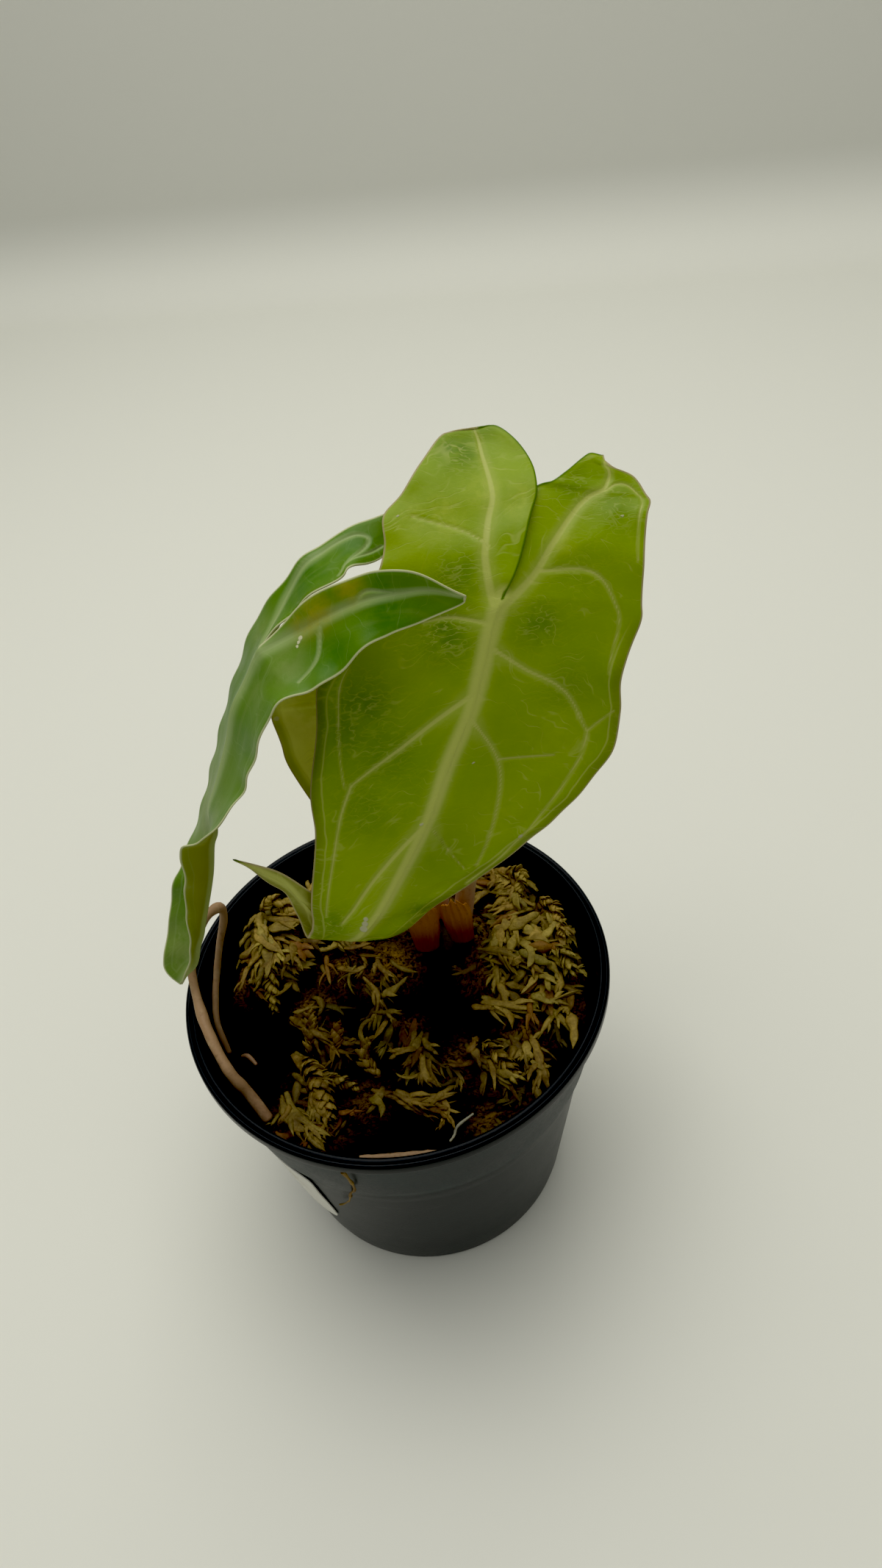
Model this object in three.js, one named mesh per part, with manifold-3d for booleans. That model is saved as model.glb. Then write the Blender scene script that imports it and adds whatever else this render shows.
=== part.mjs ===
// A young alocasia in a round 9 cm nursery pot, rooted in long-fibre sphagnum moss.
// Millimetres, +Z up. The origin is the centre of the pot's flat base. The plant faces -Y.
import * as THREE from 'three';
import { mergeVertices } from 'three/addons/utils/BufferGeometryUtils.js';
import Module from 'manifold-3d';

const wasm = await Module();
wasm.setup();

// Driving dimensions
const POT = {
  height: 70,
  rimRadius: 45,
  lipHeight: 2.6,
  lipDepth: 1.4,
  collarHeight: 20.6,
  collarRadius: 40.7,
  collarStep: 0.8,
  baseRadius: 32.5,
  wall: 1.2,
  floor: 2,
  segments: 48,
};
const DRAIN = { count: 6, radius: 3, circle: 22 };
const LABEL = { bottom: 19, height: 26, thickness: 0.3, start: -186, end: -127 };
const MOSS_LEVEL = 56;
const STEM_BASE = { x: 11.5, y: 15.5, radius: 6.4, bottom: 42, top: 60.5 };
const BLADE_THICKNESS = 0.8;
const GAP = 0.35;

const group = new THREE.Group();

function material(colour, roughness) {
  return new THREE.MeshStandardMaterial({ color: colour, roughness, metalness: 0 });
}

const MATERIALS = {
  pot: material(0x16191f, 0.42),
  label: material(0xe9e8e2, 0.6),
  moss: material(0x7d6f31, 0.95),
  youngLeaf: material(0x86a31a, 0.38),
  oldLeaf: material(0x4f7d27, 0.36),
  leafStem: material(0xb98b5c, 0.5),
  sheath: material(0xa5642a, 0.6),
  stemBase: material(0x3a2a1c, 0.85),
  root: material(0x9a7058, 0.7),
  paleRoot: material(0xd9cfae, 0.65),
  twig: material(0x7b5a45, 0.8),
};

function addNode(name, geometry, finish) {
  const mesh = new THREE.Mesh(geometry, finish);
  mesh.name = name;
  group.add(mesh);
}

function toSolid(geometry) {
  geometry.deleteAttribute('normal');
  geometry.deleteAttribute('uv');
  const merged = mergeVertices(geometry, 1e-4);
  const vertProperties = new Float32Array(merged.attributes.position.array);
  const triVerts = new Uint32Array(merged.index.array);
  return new wasm.Manifold(new wasm.Mesh({ numProp: 3, vertProperties, triVerts }));
}

function toGeometry(solid) {
  const mesh = solid.getMesh();
  const geometry = new THREE.BufferGeometry();
  geometry.setAttribute('position', new THREE.BufferAttribute(mesh.vertProperties, 3));
  geometry.setIndex(new THREE.BufferAttribute(mesh.triVerts, 1));
  geometry.computeVertexNormals();
  return geometry;
}

function meshFrom(points, triangles) {
  const geometry = new THREE.BufferGeometry().setFromPoints(points);
  geometry.setIndex(triangles);
  geometry.computeVertexNormals();
  return geometry;
}

function vectors(list) {
  return list.map(([x, y, z]) => new THREE.Vector3(x, y, z));
}

function spline(list) {
  return new THREE.CatmullRomCurve3(vectors(list), false, 'catmullrom', 0.5);
}

// A closed round bar along a curve, with a radius that changes from end to end.
function bar(curve, radiusAt, steps, sides) {
  const frames = curve.computeFrenetFrames(steps, false);
  const points = [];
  const triangles = [];
  for (let i = 0; i <= steps; i++) {
    const centre = curve.getPointAt(i / steps);
    const radius = radiusAt(i / steps);
    for (let j = 0; j < sides; j++) {
      const angle = (2 * Math.PI * j) / sides;
      const point = centre.clone();
      point.addScaledVector(frames.normals[i], radius * Math.cos(angle));
      point.addScaledVector(frames.binormals[i], radius * Math.sin(angle));
      points.push(point);
    }
  }
  for (let i = 0; i < steps; i++) {
    for (let j = 0; j < sides; j++) {
      const a = i * sides + j;
      const b = i * sides + ((j + 1) % sides);
      triangles.push(a, b, b + sides, a, b + sides, a + sides);
    }
  }
  const last = steps * sides;
  for (let j = 1; j < sides - 1; j++) {
    triangles.push(0, j + 1, j);
    triangles.push(last, last + j, last + j + 1);
  }
  return meshFrom(points, triangles);
}

// Pot: rim bead, collar, step and tapered body turned round the axis, with a flat floor.
const COLLAR_BOTTOM = POT.height - POT.collarHeight;
const COLLAR_TOP_RADIUS = POT.rimRadius - POT.lipDepth;

function potOuterRadius(z) {
  if (z > COLLAR_BOTTOM) {
    const rise = (z - COLLAR_BOTTOM) / (POT.collarHeight - POT.lipHeight);
    return POT.collarRadius + rise * (COLLAR_TOP_RADIUS - POT.collarRadius);
  }
  const bodyTop = POT.collarRadius - POT.collarStep;
  return POT.baseRadius + (z / COLLAR_BOTTOM) * (bodyTop - POT.baseRadius);
}

function potInnerRadius(z) {
  return potOuterRadius(z) - POT.wall;
}

function potShell() {
  const bead = 0.5;
  const lipBottom = POT.height - POT.lipHeight;
  const profile = [
    [0, 0],
    [POT.baseRadius - 1, 0],
    [potOuterRadius(1), 1],
    [potOuterRadius(COLLAR_BOTTOM - POT.collarStep), COLLAR_BOTTOM - POT.collarStep],
    [potOuterRadius(COLLAR_BOTTOM + 0.01), COLLAR_BOTTOM],
    [potOuterRadius(lipBottom), lipBottom],
    [POT.rimRadius, lipBottom + bead],
    [POT.rimRadius, POT.height - bead],
    [POT.rimRadius - bead, POT.height],
    [potInnerRadius(POT.height) + bead, POT.height],
    [potInnerRadius(POT.height), POT.height - bead],
    [potInnerRadius(COLLAR_BOTTOM + 0.01), COLLAR_BOTTOM],
    [potInnerRadius(COLLAR_BOTTOM - POT.collarStep), COLLAR_BOTTOM - POT.collarStep],
    [potInnerRadius(POT.floor), POT.floor],
    [0, POT.floor],
  ];
  const outline = profile.map(([r, z]) => new THREE.Vector2(r, z));
  const shell = new THREE.LatheGeometry(outline, POT.segments);
  shell.rotateX(Math.PI / 2);
  return toSolid(shell);
}

function drainHole(index) {
  const hole = new THREE.CylinderGeometry(DRAIN.radius, DRAIN.radius, 4 * POT.floor, 12);
  const angle = (2 * Math.PI * (index + 0.5)) / DRAIN.count;
  hole.rotateX(Math.PI / 2);
  hole.translate(DRAIN.circle * Math.cos(angle), DRAIN.circle * Math.sin(angle), 0);
  return toSolid(hole);
}

let pot = potShell();
for (let i = 0; i < DRAIN.count; i++) {
  pot = pot.subtract(drainHole(i));
}
addNode('pot', toGeometry(pot), MATERIALS.pot);

// A sheet of constant thickness from a grid of points, row by row.
function thickGrid(rows, thickness, outwardAt) {
  const columns = rows[0].length;
  const front = rows.flat();
  const back = [];
  for (let i = 0; i < rows.length; i++) {
    for (let j = 0; j < columns; j++) {
      const point = rows[i][j].clone();
      point.addScaledVector(outwardAt(i, j), -thickness);
      back.push(point);
    }
  }
  const size = front.length;
  const triangles = [];
  const quad = (a, b, c, d) => triangles.push(a, b, c, a, c, d);
  for (let i = 0; i < rows.length - 1; i++) {
    for (let j = 0; j < columns - 1; j++) {
      const a = i * columns + j;
      quad(a, a + 1, a + columns + 1, a + columns);
      quad(size + a, size + a + columns, size + a + columns + 1, size + a + 1);
    }
    const left = i * columns;
    const right = left + columns - 1;
    quad(left, left + columns, size + left + columns, size + left);
    quad(right, size + right, size + right + columns, right + columns);
  }
  const top = (rows.length - 1) * columns;
  for (let j = 0; j < columns - 1; j++) {
    quad(j, size + j, size + j + 1, j + 1);
    quad(top + j, top + j + 1, size + top + j + 1, size + top + j);
  }
  return meshFrom([...front, ...back], triangles);
}

// Blank plant label stuck round the side of the pot.
function labelSheet() {
  const steps = 12;
  const rows = [];
  for (const z of [LABEL.bottom, LABEL.bottom + LABEL.height]) {
    const radius = potOuterRadius(z) + GAP + LABEL.thickness;
    const row = [];
    for (let j = 0; j <= steps; j++) {
      const angle = THREE.MathUtils.degToRad(LABEL.start + ((LABEL.end - LABEL.start) * j) / steps);
      row.push(new THREE.Vector3(radius * Math.cos(angle), radius * Math.sin(angle), z));
    }
    rows.push(row);
  }
  const outwardAt = (i, j) => {
    const point = rows[i][j];
    return new THREE.Vector3(point.x, point.y, 0).normalize();
  };
  return thickGrid(rows, LABEL.thickness, outwardAt);
}
addNode('pot_label', labelSheet(), MATERIALS.label);

// Moss: the bed's top is a level with soft hills and hollows, each x, y, radius and height.
const MOSS_FORMS = [
  [28, 8, 15, 3.5],
  [4, 31, 13, 2],
  [-24, 18, 11, 2.5],
  [-2, -12, 9, 1.5],
  [11, 3, 6.5, -6],
  [3, -33, 8, -3.5],
  [-33, -1, 8, -3.5],
  [-30, 25, 9, 5.5],
  [29, 27, 8, 4.5],
];

function mossHeight(x, y) {
  let height = MOSS_LEVEL;
  for (const [cx, cy, radius, rise] of MOSS_FORMS) {
    const distance = Math.hypot(x - cx, y - cy) / radius;
    height += rise * Math.exp(-distance * distance);
  }
  return height;
}

function mossBed() {
  const segments = 40;
  const rings = 11;
  const topRadius = potInnerRadius(MOSS_LEVEL) - GAP - 0.2;
  const shoulder = COLLAR_BOTTOM - POT.collarStep;
  const bottom = POT.floor + GAP;
  const points = [new THREE.Vector3(0, 0, mossHeight(0, 0))];
  const circle = (radius, heightAt) => {
    for (let j = 0; j < segments; j++) {
      const angle = (2 * Math.PI * j) / segments;
      const x = radius * Math.cos(angle);
      const y = radius * Math.sin(angle);
      points.push(new THREE.Vector3(x, y, heightAt(x, y)));
    }
  };
  for (let i = 1; i <= rings; i++) {
    circle((topRadius * i) / rings, (x, y) => mossHeight(x, y));
  }
  circle(potInnerRadius(COLLAR_BOTTOM + 0.01) - GAP, () => COLLAR_BOTTOM + GAP);
  circle(potInnerRadius(shoulder) - GAP, () => shoulder);
  circle(potInnerRadius(bottom) - GAP, () => bottom);
  points.push(new THREE.Vector3(0, 0, bottom));
  const triangles = [];
  const circles = rings + 3;
  for (let j = 0; j < segments; j++) {
    const next = (j + 1) % segments;
    triangles.push(0, 1 + j, 1 + next);
    for (let i = 0; i < circles - 1; i++) {
      const a = 1 + i * segments + j;
      const b = 1 + i * segments + next;
      triangles.push(a, a + segments, b + segments, a, b + segments, b);
    }
    const last = 1 + (circles - 1) * segments;
    triangles.push(last + j, points.length - 1, last + next);
  }
  return toSolid(meshFrom(points, triangles));
}

// Short stem base, half sunk in its socket in the moss.
function stemBase(extra) {
  const { radius, bottom, top } = STEM_BASE;
  const profile = [
    [0, bottom - extra],
    [radius * 0.7, bottom - extra],
    [radius + extra, bottom + 4],
    [radius + extra, top - 2.5],
    [radius - 1.6 + extra, top + extra],
    [0, top + extra],
  ];
  const outline = profile.map(([r, z]) => new THREE.Vector2(r, z));
  const turned = new THREE.LatheGeometry(outline, 16);
  turned.rotateX(Math.PI / 2);
  turned.translate(STEM_BASE.x, STEM_BASE.y, 0);
  return toSolid(turned);
}
addNode('moss_bed', toGeometry(mossBed().subtract(stemBase(GAP + 0.15))), MATERIALS.moss);
addNode('stem_base', toGeometry(stemBase(0)), MATERIALS.stemBase);

// Leaf blades. A blade is two half blades that share the rib. A half blade runs from the tip of its
// lobe to the tip of the leaf, between an inner line (the lobe's inside edge, then the rib) and the
// margin. Each margin point stands opposite one point of the inner line.
const FRONT_LEAF = {
  bow: 0.9,
  rib: [
    [29, 0.5, 156.5],
    [27, -1, 153],
    [24.5, -3.5, 146.5],
    [21.5, -6, 139.5],
    [17, -8.5, 132],
    [12, -12, 122.5],
    [4, -15, 110],
    [-0.5, -16.5, 104],
    [-5, -16, 99.5],
    [-9, -12.5, 100],
    [-12.5, -11.5, 108.5],
    [-16, -10.5, 113.5],
    [-22.5, -9, 118],
  ],
  left: {
    lobe: [
      [29.5, 24, 174],
      [32.5, 23.5, 174],
      [35, 20.5, 172.5],
      [36.5, 16.5, 170.5],
      [36.5, 11.5, 168.5],
      [35, 8.5, 166],
      [33, 4.5, 163],
      [31, 2, 159.5],
    ],
    margin: [
      [29.5, 24, 174],
      [25.5, 24, 174],
      [23, 23, 173.5],
      [19.5, 18.5, 172],
      [16, 14.5, 169.5],
      [12.5, 11.5, 167.5],
      [12, 8, 164.5],
      [10.5, 5.5, 161.5],
      [6.5, 3, 155.5],
      [1.5, 1.5, 149.5],
      [-2.5, 0, 145],
      [-4, -3, 138],
      [-7, -7, 128],
      [-7.5, -10, 121],
      [-10.5, -14, 109],
      [-11, -15.5, 104.5],
      [-12.5, -15, 100.5],
      [-13.5, -13, 101],
      [-14.5, -11.5, 108],
      [-17, -10.5, 112],
      [-22.5, -9, 118],
    ],
  },
  right: {
    lobe: [
      [48.5, 17, 169.5],
      [46, 17, 170],
      [42, 14.5, 169],
      [39.5, 13, 168.5],
      [37.7, 11.5, 168],
      [36.2, 8, 166],
      [34.2, 4.5, 162.5],
      [32.5, 2, 159],
    ],
    margin: [
      [48.5, 17, 169.5],
      [49, 15.5, 168.5],
      [52.5, 13.5, 167],
      [54, 11, 165],
      [54.5, 10, 164],
      [53.5, 8, 162.5],
      [52.5, 5, 159],
      [52, 3.5, 155.5],
      [51.5, 2, 151],
      [51, 1, 147.5],
      [47.5, -2, 140.5],
      [47, -3, 133.5],
      [45, -5, 126],
      [36, -8.5, 117.5],
      [26, -12, 111.5],
      [12, -15, 104.5],
      [1, -15.5, 97],
      [-6.5, -11.5, 104],
      [-10.5, -11, 109],
      [-15.5, -10, 114.5],
      [-22.5, -9, 118],
    ],
  },
};

const LEFT_LEAF = {
  bow: 1,
  rib: [
    [-10.5, 3, 152.5],
    [-14, 2.5, 147],
    [-17.5, 2, 142],
    [-20, 1.5, 135.5],
    [-23.5, 1, 128],
    [-26.5, 0.5, 122],
    [-27, 0, 117],
    [-28.5, 0, 113.5],
    [-30.5, -0.5, 106.5],
    [-33.5, -1.5, 98.5],
    [-36.5, -3, 91],
    [-39, -4, 85],
    [-43, -4, 79.5],
  ],
  left: {
    lobe: [
      [22, 22, 160.5],
      [16.5, 18, 159.5],
      [11, 11, 160.5],
      [6.5, 7, 162],
      [4.5, 5.5, 161.5],
      [-1, 5, 159],
      [-5.5, 5, 155.5],
    ],
    margin: [
      [22, 22, 160.5],
      [17.5, 22, 163],
      [12.5, 18, 164.5],
      [7.5, 16.5, 164],
      [2, 15, 162.5],
      [-2, 14.5, 160.5],
      [-6.5, 14.5, 156],
      [-11.5, 15, 150.5],
      [-16, 15, 143],
      [-20.5, 15, 134.5],
      [-25, 14.5, 125],
      [-28.5, 13, 117.5],
      [-32, 11.5, 110.5],
      [-35, 9, 106],
      [-37, 6, 103.5],
      [-39.5, 4, 100],
      [-42, 2, 93],
      [-45, -1, 85.5],
      [-45.5, -2.5, 82.5],
      [-43, -4, 79.5],
    ],
  },
  right: {
    lobe: [
      [23, -4, 160.5],
      [20, -4, 163],
      [15.5, -2.5, 165.5],
      [10.5, 0, 165],
      [5.5, 2, 163],
      [-0.5, 3, 160.5],
      [-5, 3.5, 156.5],
    ],
    margin: [
      [23, -4, 160.5],
      [20.5, -4, 158.5],
      [16, -5, 158],
      [11, -5.5, 157],
      [7.5, -6, 156],
      [2.5, -7, 152.5],
      [-1.5, -8, 151],
      [-5, -8.5, 150.5],
      [-8.5, -9, 149],
      [-12, -9, 143],
      [-15, -9, 137],
      [-17.5, -10, 133],
      [-21.5, -12, 130],
      [-26, -12, 126],
      [-30, -10.5, 124],
      [-31.5, -9.5, 116.5],
      [-34.5, -7.5, 105.5],
      [-37.5, -5.5, 92],
      [-39.5, -5, 86.5],
      [-43, -4, 79.5],
    ],
  },
};

const REAR_LEAF = {
  bow: 1,
  rib: [
    [5.5, 21, 133],
    [4.5, 20.5, 128],
    [3.5, 19.5, 123],
    [2, 18.5, 117],
    [0.5, 17.5, 111],
    [-1.5, 15, 102.5],
    [-4, 12, 92.5],
  ],
  left: {
    lobe: [
      [-0.5, 27, 140.5],
      [3.5, 26.5, 140.5],
      [5, 24, 137.5],
    ],
    margin: [
      [-0.5, 27, 140.5],
      [-6, 25, 138.5],
      [-9.5, 24, 135],
      [-12, 23, 131],
      [-14.5, 22, 127.5],
      [-15, 21, 124],
      [-14, 20, 118.5],
      [-12.5, 18, 113],
      [-8.5, 14.5, 100],
      [-4, 12, 92.5],
    ],
  },
  right: {
    lobe: [
      [14.5, 27, 139],
      [10.5, 26.5, 140],
      [7.5, 24, 137.5],
    ],
    margin: [
      [14.5, 27, 139],
      [19.5, 25, 135],
      [20.5, 24, 130],
      [20.5, 23, 125.5],
      [19.5, 22, 121],
      [18, 21, 116.5],
      [14.5, 19.5, 109.5],
      [10, 18, 102.5],
      [3, 15, 95.5],
      [-4, 12, 92.5],
    ],
  },
};

// Middle surface of a blade: points welded where the halves meet, and the triangles between them.
function bladeSurface(leaf, rowsPerStation, columns) {
  const points = [];
  const triangles = [];
  const known = new Map();
  const rib = spline(leaf.rib);
  const ribSpans = leaf.rib.length - 1;
  const indexOf = (point) => {
    const key = point.toArray().map((value) => value.toFixed(4)).join();
    if (!known.has(key)) {
      known.set(key, points.length);
      points.push(point);
    }
    return known.get(key);
  };
  for (const side of ['left', 'right']) {
    const half = leaf[side];
    const lobe = spline([...half.lobe, leaf.rib[0]]);
    const lobeSpans = half.lobe.length;
    const margin = spline(half.margin);
    const spans = half.margin.length - 1;
    const facing = side === 'left' ? 1 : -1;
    const rows = spans * rowsPerStation;
    const grid = [];
    for (let i = 0; i <= rows; i++) {
      const station = i / rowsPerStation;
      const inner = station <= lobeSpans
        ? lobe.getPoint(station / lobeSpans)
        : rib.getPoint((station - lobeSpans) / ribSpans);
      const outer = margin.getPoint(station / spans);
      const ahead = margin.getPoint(Math.min(1, (station + 0.5) / spans));
      const across = new THREE.Vector3().subVectors(outer, inner);
      const normal = new THREE.Vector3().subVectors(ahead, outer).cross(across);
      normal.setLength(facing * leaf.bow * Math.min(1, across.length() / 12));
      const row = [];
      for (let j = 0; j <= columns; j++) {
        const share = j / columns;
        const point = inner.clone().addScaledVector(across, share);
        point.addScaledVector(normal, Math.sin(Math.PI * share));
        row.push(indexOf(point));
      }
      grid.push(row);
    }
    const add = (a, b, c) => {
      if (a !== b && b !== c && c !== a) {
        triangles.push(side === 'left' ? [a, b, c] : [a, c, b]);
      }
    };
    for (let i = 0; i < rows; i++) {
      for (let j = 0; j < columns; j++) {
        add(grid[i][j], grid[i + 1][j + 1], grid[i + 1][j]);
        add(grid[i][j], grid[i][j + 1], grid[i + 1][j + 1]);
      }
    }
  }
  return { points, triangles };
}

// The middle surface moved half a thickness each way along its normals and closed round its edge.
function thicken({ points, triangles }, thickness) {
  const surface = meshFrom(points, triangles.flat());
  const normals = surface.attributes.normal;
  const front = [];
  const back = [];
  points.forEach((point, index) => {
    const normal = new THREE.Vector3().fromBufferAttribute(normals, index);
    front.push(point.clone().addScaledVector(normal, thickness / 2));
    back.push(point.clone().addScaledVector(normal, -thickness / 2));
  });
  const size = points.length;
  const edges = new Map();
  const faces = [];
  for (const [a, b, c] of triangles) {
    faces.push(a, b, c, size + a, size + c, size + b);
    for (const [from, to] of [[a, b], [b, c], [c, a]]) {
      if (!edges.delete(`${to},${from}`)) {
        edges.set(`${from},${to}`, [from, to]);
      }
    }
  }
  for (const [from, to] of edges.values()) {
    faces.push(from, size + from, size + to, from, size + to, to);
  }
  return meshFrom([...front, ...back], faces);
}

function addBlade(name, leaf, rowsPerStation, columns, finish) {
  const surface = bladeSurface(leaf, rowsPerStation, columns);
  addNode(name, thicken(surface, BLADE_THICKNESS), finish);
}
addBlade('front_leaf_blade', FRONT_LEAF, 2, 4, MATERIALS.youngLeaf);
addBlade('left_leaf_blade', LEFT_LEAF, 2, 4, MATERIALS.oldLeaf);
addBlade('rear_leaf_blade', REAR_LEAF, 2, 4, MATERIALS.youngLeaf);

// Leaf stems rise from the stem base to the back of their blades and thin out on the way.
const LEAF_STEMS = {
  front_leaf_stem: [
    [14.6, 15, 61.4],
    [16.5, 16, 68],
    [21, 15, 95],
    [25.5, 11, 125],
    [28.2, 6.5, 145],
    [29.3, 2, 154.8],
  ],
  left_leaf_stem: [
    [8, 14, 61.3],
    [6, 13.5, 70],
    [3, 9.5, 97],
    [1.5, 8.5, 130],
    [-1.5, 8.5, 145.5],
    [-5.5, 7.5, 150],
    [-9.2, 5.6, 149.8],
  ],
  rear_leaf_stem: [
    [11, 19.8, 61],
    [10.5, 23, 75],
    [9.5, 28, 100],
    [8, 29, 120],
    [6.5, 25.5, 130.5],
    [5.8, 22.5, 131.8],
  ],
};
for (const [name, route] of Object.entries(LEAF_STEMS)) {
  const radiusAt = (share) => 2.3 - 1.1 * share;
  addNode(name, bar(spline(route), radiusAt, 18, 8), MATERIALS.leafStem);
}

// Dry sheaths that stand round the foot of a leaf stem, each a strip rolled part of the way round.
function sheath(foot, lean, height, radius, open) {
  const steps = 6;
  const rise = 5;
  const rows = [];
  const axes = [];
  for (let i = 0; i <= rise; i++) {
    const share = i / rise;
    const half = THREE.MathUtils.degToRad(open * (0.7 + 0.6 * share - 0.9 * share ** 3));
    const centre = new THREE.Vector3(
      foot[0] + lean[0] * share,
      foot[1] + lean[1] * share,
      foot[2] + height * share,
    );
    const wide = radius + 1.1 * share;
    const row = [];
    for (let j = 0; j <= steps; j++) {
      const angle = -Math.PI / 2 - half + (2 * half * j) / steps;
      const out = new THREE.Vector3(Math.cos(angle), Math.sin(angle), 0);
      row.push(centre.clone().addScaledVector(out, wide));
    }
    rows.push(row);
    axes.push(centre);
  }
  const outwardAt = (i, j) => new THREE.Vector3().subVectors(rows[i][j], axes[i]).normalize();
  return thickGrid(rows, 0.6, outwardAt);
}
addNode('left_dry_sheath', sheath([7.2, 13.6, 60.9], [0.4, -1], 15, 3.4, 50), MATERIALS.sheath);
addNode('right_dry_sheath', sheath([15.3, 14.4, 60.9], [-0.8, -1.2], 13, 3.6, 48), MATERIALS.sheath);

// Runner: creeps up the inside of the pot, arches over the rim behind the left leaf and dives back.
const RUNNER = [
  [-29.5, -24, 57.2],
  [-32.5, -20.5, 62],
  [-35.5, -18, 68],
  [-39.2, -10.2, 73],
  [-41.6, -1.2, 76],
  [-41.4, 2.6, 79],
  [-38.8, 5.2, 84],
  [-36.2, 8, 86],
  [-34.2, 9.6, 85.6],
  [-34.3, 9.7, 82],
  [-36.6, 8.3, 76],
  [-38.6, 5.6, 70],
  [-39.7, 1.5, 66],
  [-40, -2.5, 62],
  [-38.8, -6, 56],
];
addNode('runner', bar(spline(RUNNER), (share) => 1.15 - 0.55 * share, 48, 6), MATERIALS.root);

// Roots and bits that lie on the moss. Each point gives x, y and the height above the moss bed.
function onMoss(route, radius) {
  return route.map(([x, y, lift]) => [x, y, mossHeight(x, y) + 0.8 * radius + GAP + lift]);
}

function addStrand(name, route, radius, finish, steps = 7) {
  const taper = (share) => radius * (0.45 + 0.55 * Math.sin(Math.PI * (0.12 + 0.76 * share)));
  addNode(name, bar(spline(onMoss(route, radius)), taper, steps, 6), finish);
}

const TWIG = [
  [-11.3, -35.2, 0.4],
  [-6, -35.4, 0.3],
  [-1, -34.9, 0.35],
  [7, -35.6, 0.5],
];
addStrand('fallen_twig', TWIG, 0.7, MATERIALS.twig);

const PALE_ROOT = [
  [12, -28.8, 0.2],
  [8.5, -30.4, 0.3],
  [7.6, -32, 0.4],
  [6.6, -33.4, 1.2],
];
addStrand('pale_root', PALE_ROOT, 0.45, MATERIALS.paleRoot);

const RUNNER_ROOTLET = [
  [-36.2, -6.5, 0],
  [-34.4, -8, 1.5],
  [-32.6, -10.2, 0.5],
];
addStrand('runner_rootlet', RUNNER_ROOTLET, 0.5, MATERIALS.root);

// A dry moss thread that hangs down the outside of the pot from under the lip.
const HANGING_MOSS = [
  [-107.6, 66],
  [-107, 62.5],
  [-106.8, 59],
  [-108.2, 54],
  [-110.5, 49.8],
  [-111.6, 46.5],
  [-113.2, 43],
  [-117.8, 38],
];
function hangingThread() {
  const radius = 0.6;
  const route = HANGING_MOSS.map(([degrees, z]) => {
    const angle = THREE.MathUtils.degToRad(degrees);
    const reach = potOuterRadius(z) + 0.9 * radius + GAP;
    return [reach * Math.cos(angle), reach * Math.sin(angle), z];
  });
  return bar(spline(route), (share) => radius * (1 - 0.4 * share), 20, 6);
}
addNode('hanging_moss_thread', hangingThread(), MATERIALS.moss);

// Loose moss tufts on top of the bed: a radius, then the points it lies along.
const MOSS_TUFTS = [
  [2.1, [-25, -10, 0], [-21, -16, 0.6], [-19, -24, 0]],
  [1.8, [-25, 0, 0], [-20, -5, 0.5], [-14.5, -10, 0]],
  [2.2, [-8, 5, 0], [-5, -1, 0.6], [-6, -8, 0]],
  [2, [4, -9, 0], [2, -15, 0.5], [4.5, -21, 0]],
  [2, [12.5, -14, 0], [15.5, -19, 0.6], [20, -23.5, 0]],
  [1.6, [25.5, -15, 0], [26.5, -20, 0.5], [25, -27, 0]],
  [2.2, [34.5, 16, 0], [36.5, 10, 0.5], [36.5, 3, 0]],
  [2, [22, 30, 0], [26, 27, 0.9], [30, 22, 0.3]],
  [2, [-27, 24, 0.4], [-22, 27.5, 0.9], [-15, 30, 0.2]],
  [1.7, [-33, 15, 0], [-28.5, 12.5, 0.6], [-23, 9, 0]],
  [1.7, [-19, 21, 0], [-14, 18, 0.6], [-9.5, 13.5, 0]],
  [2, [-27, -19.5, 0], [-24.5, -25.5, 0.4], [-17, -31.5, 0]],
  [2.2, [19.5, 7.5, 0], [25, 4, 0.6], [31, 0, 0]],
  [1.8, [16, -4.5, 0.2], [21.5, -7, 0.5], [28.5, -9.5, 0]],
  [1.8, [-3, -23, 0], [2, -25.6, 0.5], [10.5, -25.2, 0]],
  [1.7, [-3, 33, 0], [4, 34, 0.4], [11, 33, 0]],
];
MOSS_TUFTS.forEach(([radius, ...route], index) => {
  addStrand(`moss_tuft_${index + 1}`, route, radius, MATERIALS.moss);
});

export default group;
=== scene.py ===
"""Looks of a young alocasia in a round 9 cm nursery pot, rooted in long-fibre sphagnum moss."""
import math
from types import SimpleNamespace

import bmesh
import bpy
import numpy as np
from mathutils import Matrix, Vector, noise


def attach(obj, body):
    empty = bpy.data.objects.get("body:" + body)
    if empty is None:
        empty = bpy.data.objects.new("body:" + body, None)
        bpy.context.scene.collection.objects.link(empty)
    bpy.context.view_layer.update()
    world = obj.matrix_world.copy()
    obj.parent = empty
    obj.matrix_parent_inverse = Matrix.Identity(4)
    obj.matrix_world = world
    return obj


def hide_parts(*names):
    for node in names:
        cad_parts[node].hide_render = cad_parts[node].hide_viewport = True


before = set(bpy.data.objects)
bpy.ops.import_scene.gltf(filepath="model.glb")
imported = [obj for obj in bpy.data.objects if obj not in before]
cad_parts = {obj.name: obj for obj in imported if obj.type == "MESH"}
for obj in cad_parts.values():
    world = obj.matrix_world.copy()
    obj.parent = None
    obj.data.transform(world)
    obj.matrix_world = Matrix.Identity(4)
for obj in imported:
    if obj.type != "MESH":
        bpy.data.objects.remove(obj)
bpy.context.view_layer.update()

MM = 0.001
BODY = "root"

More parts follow.
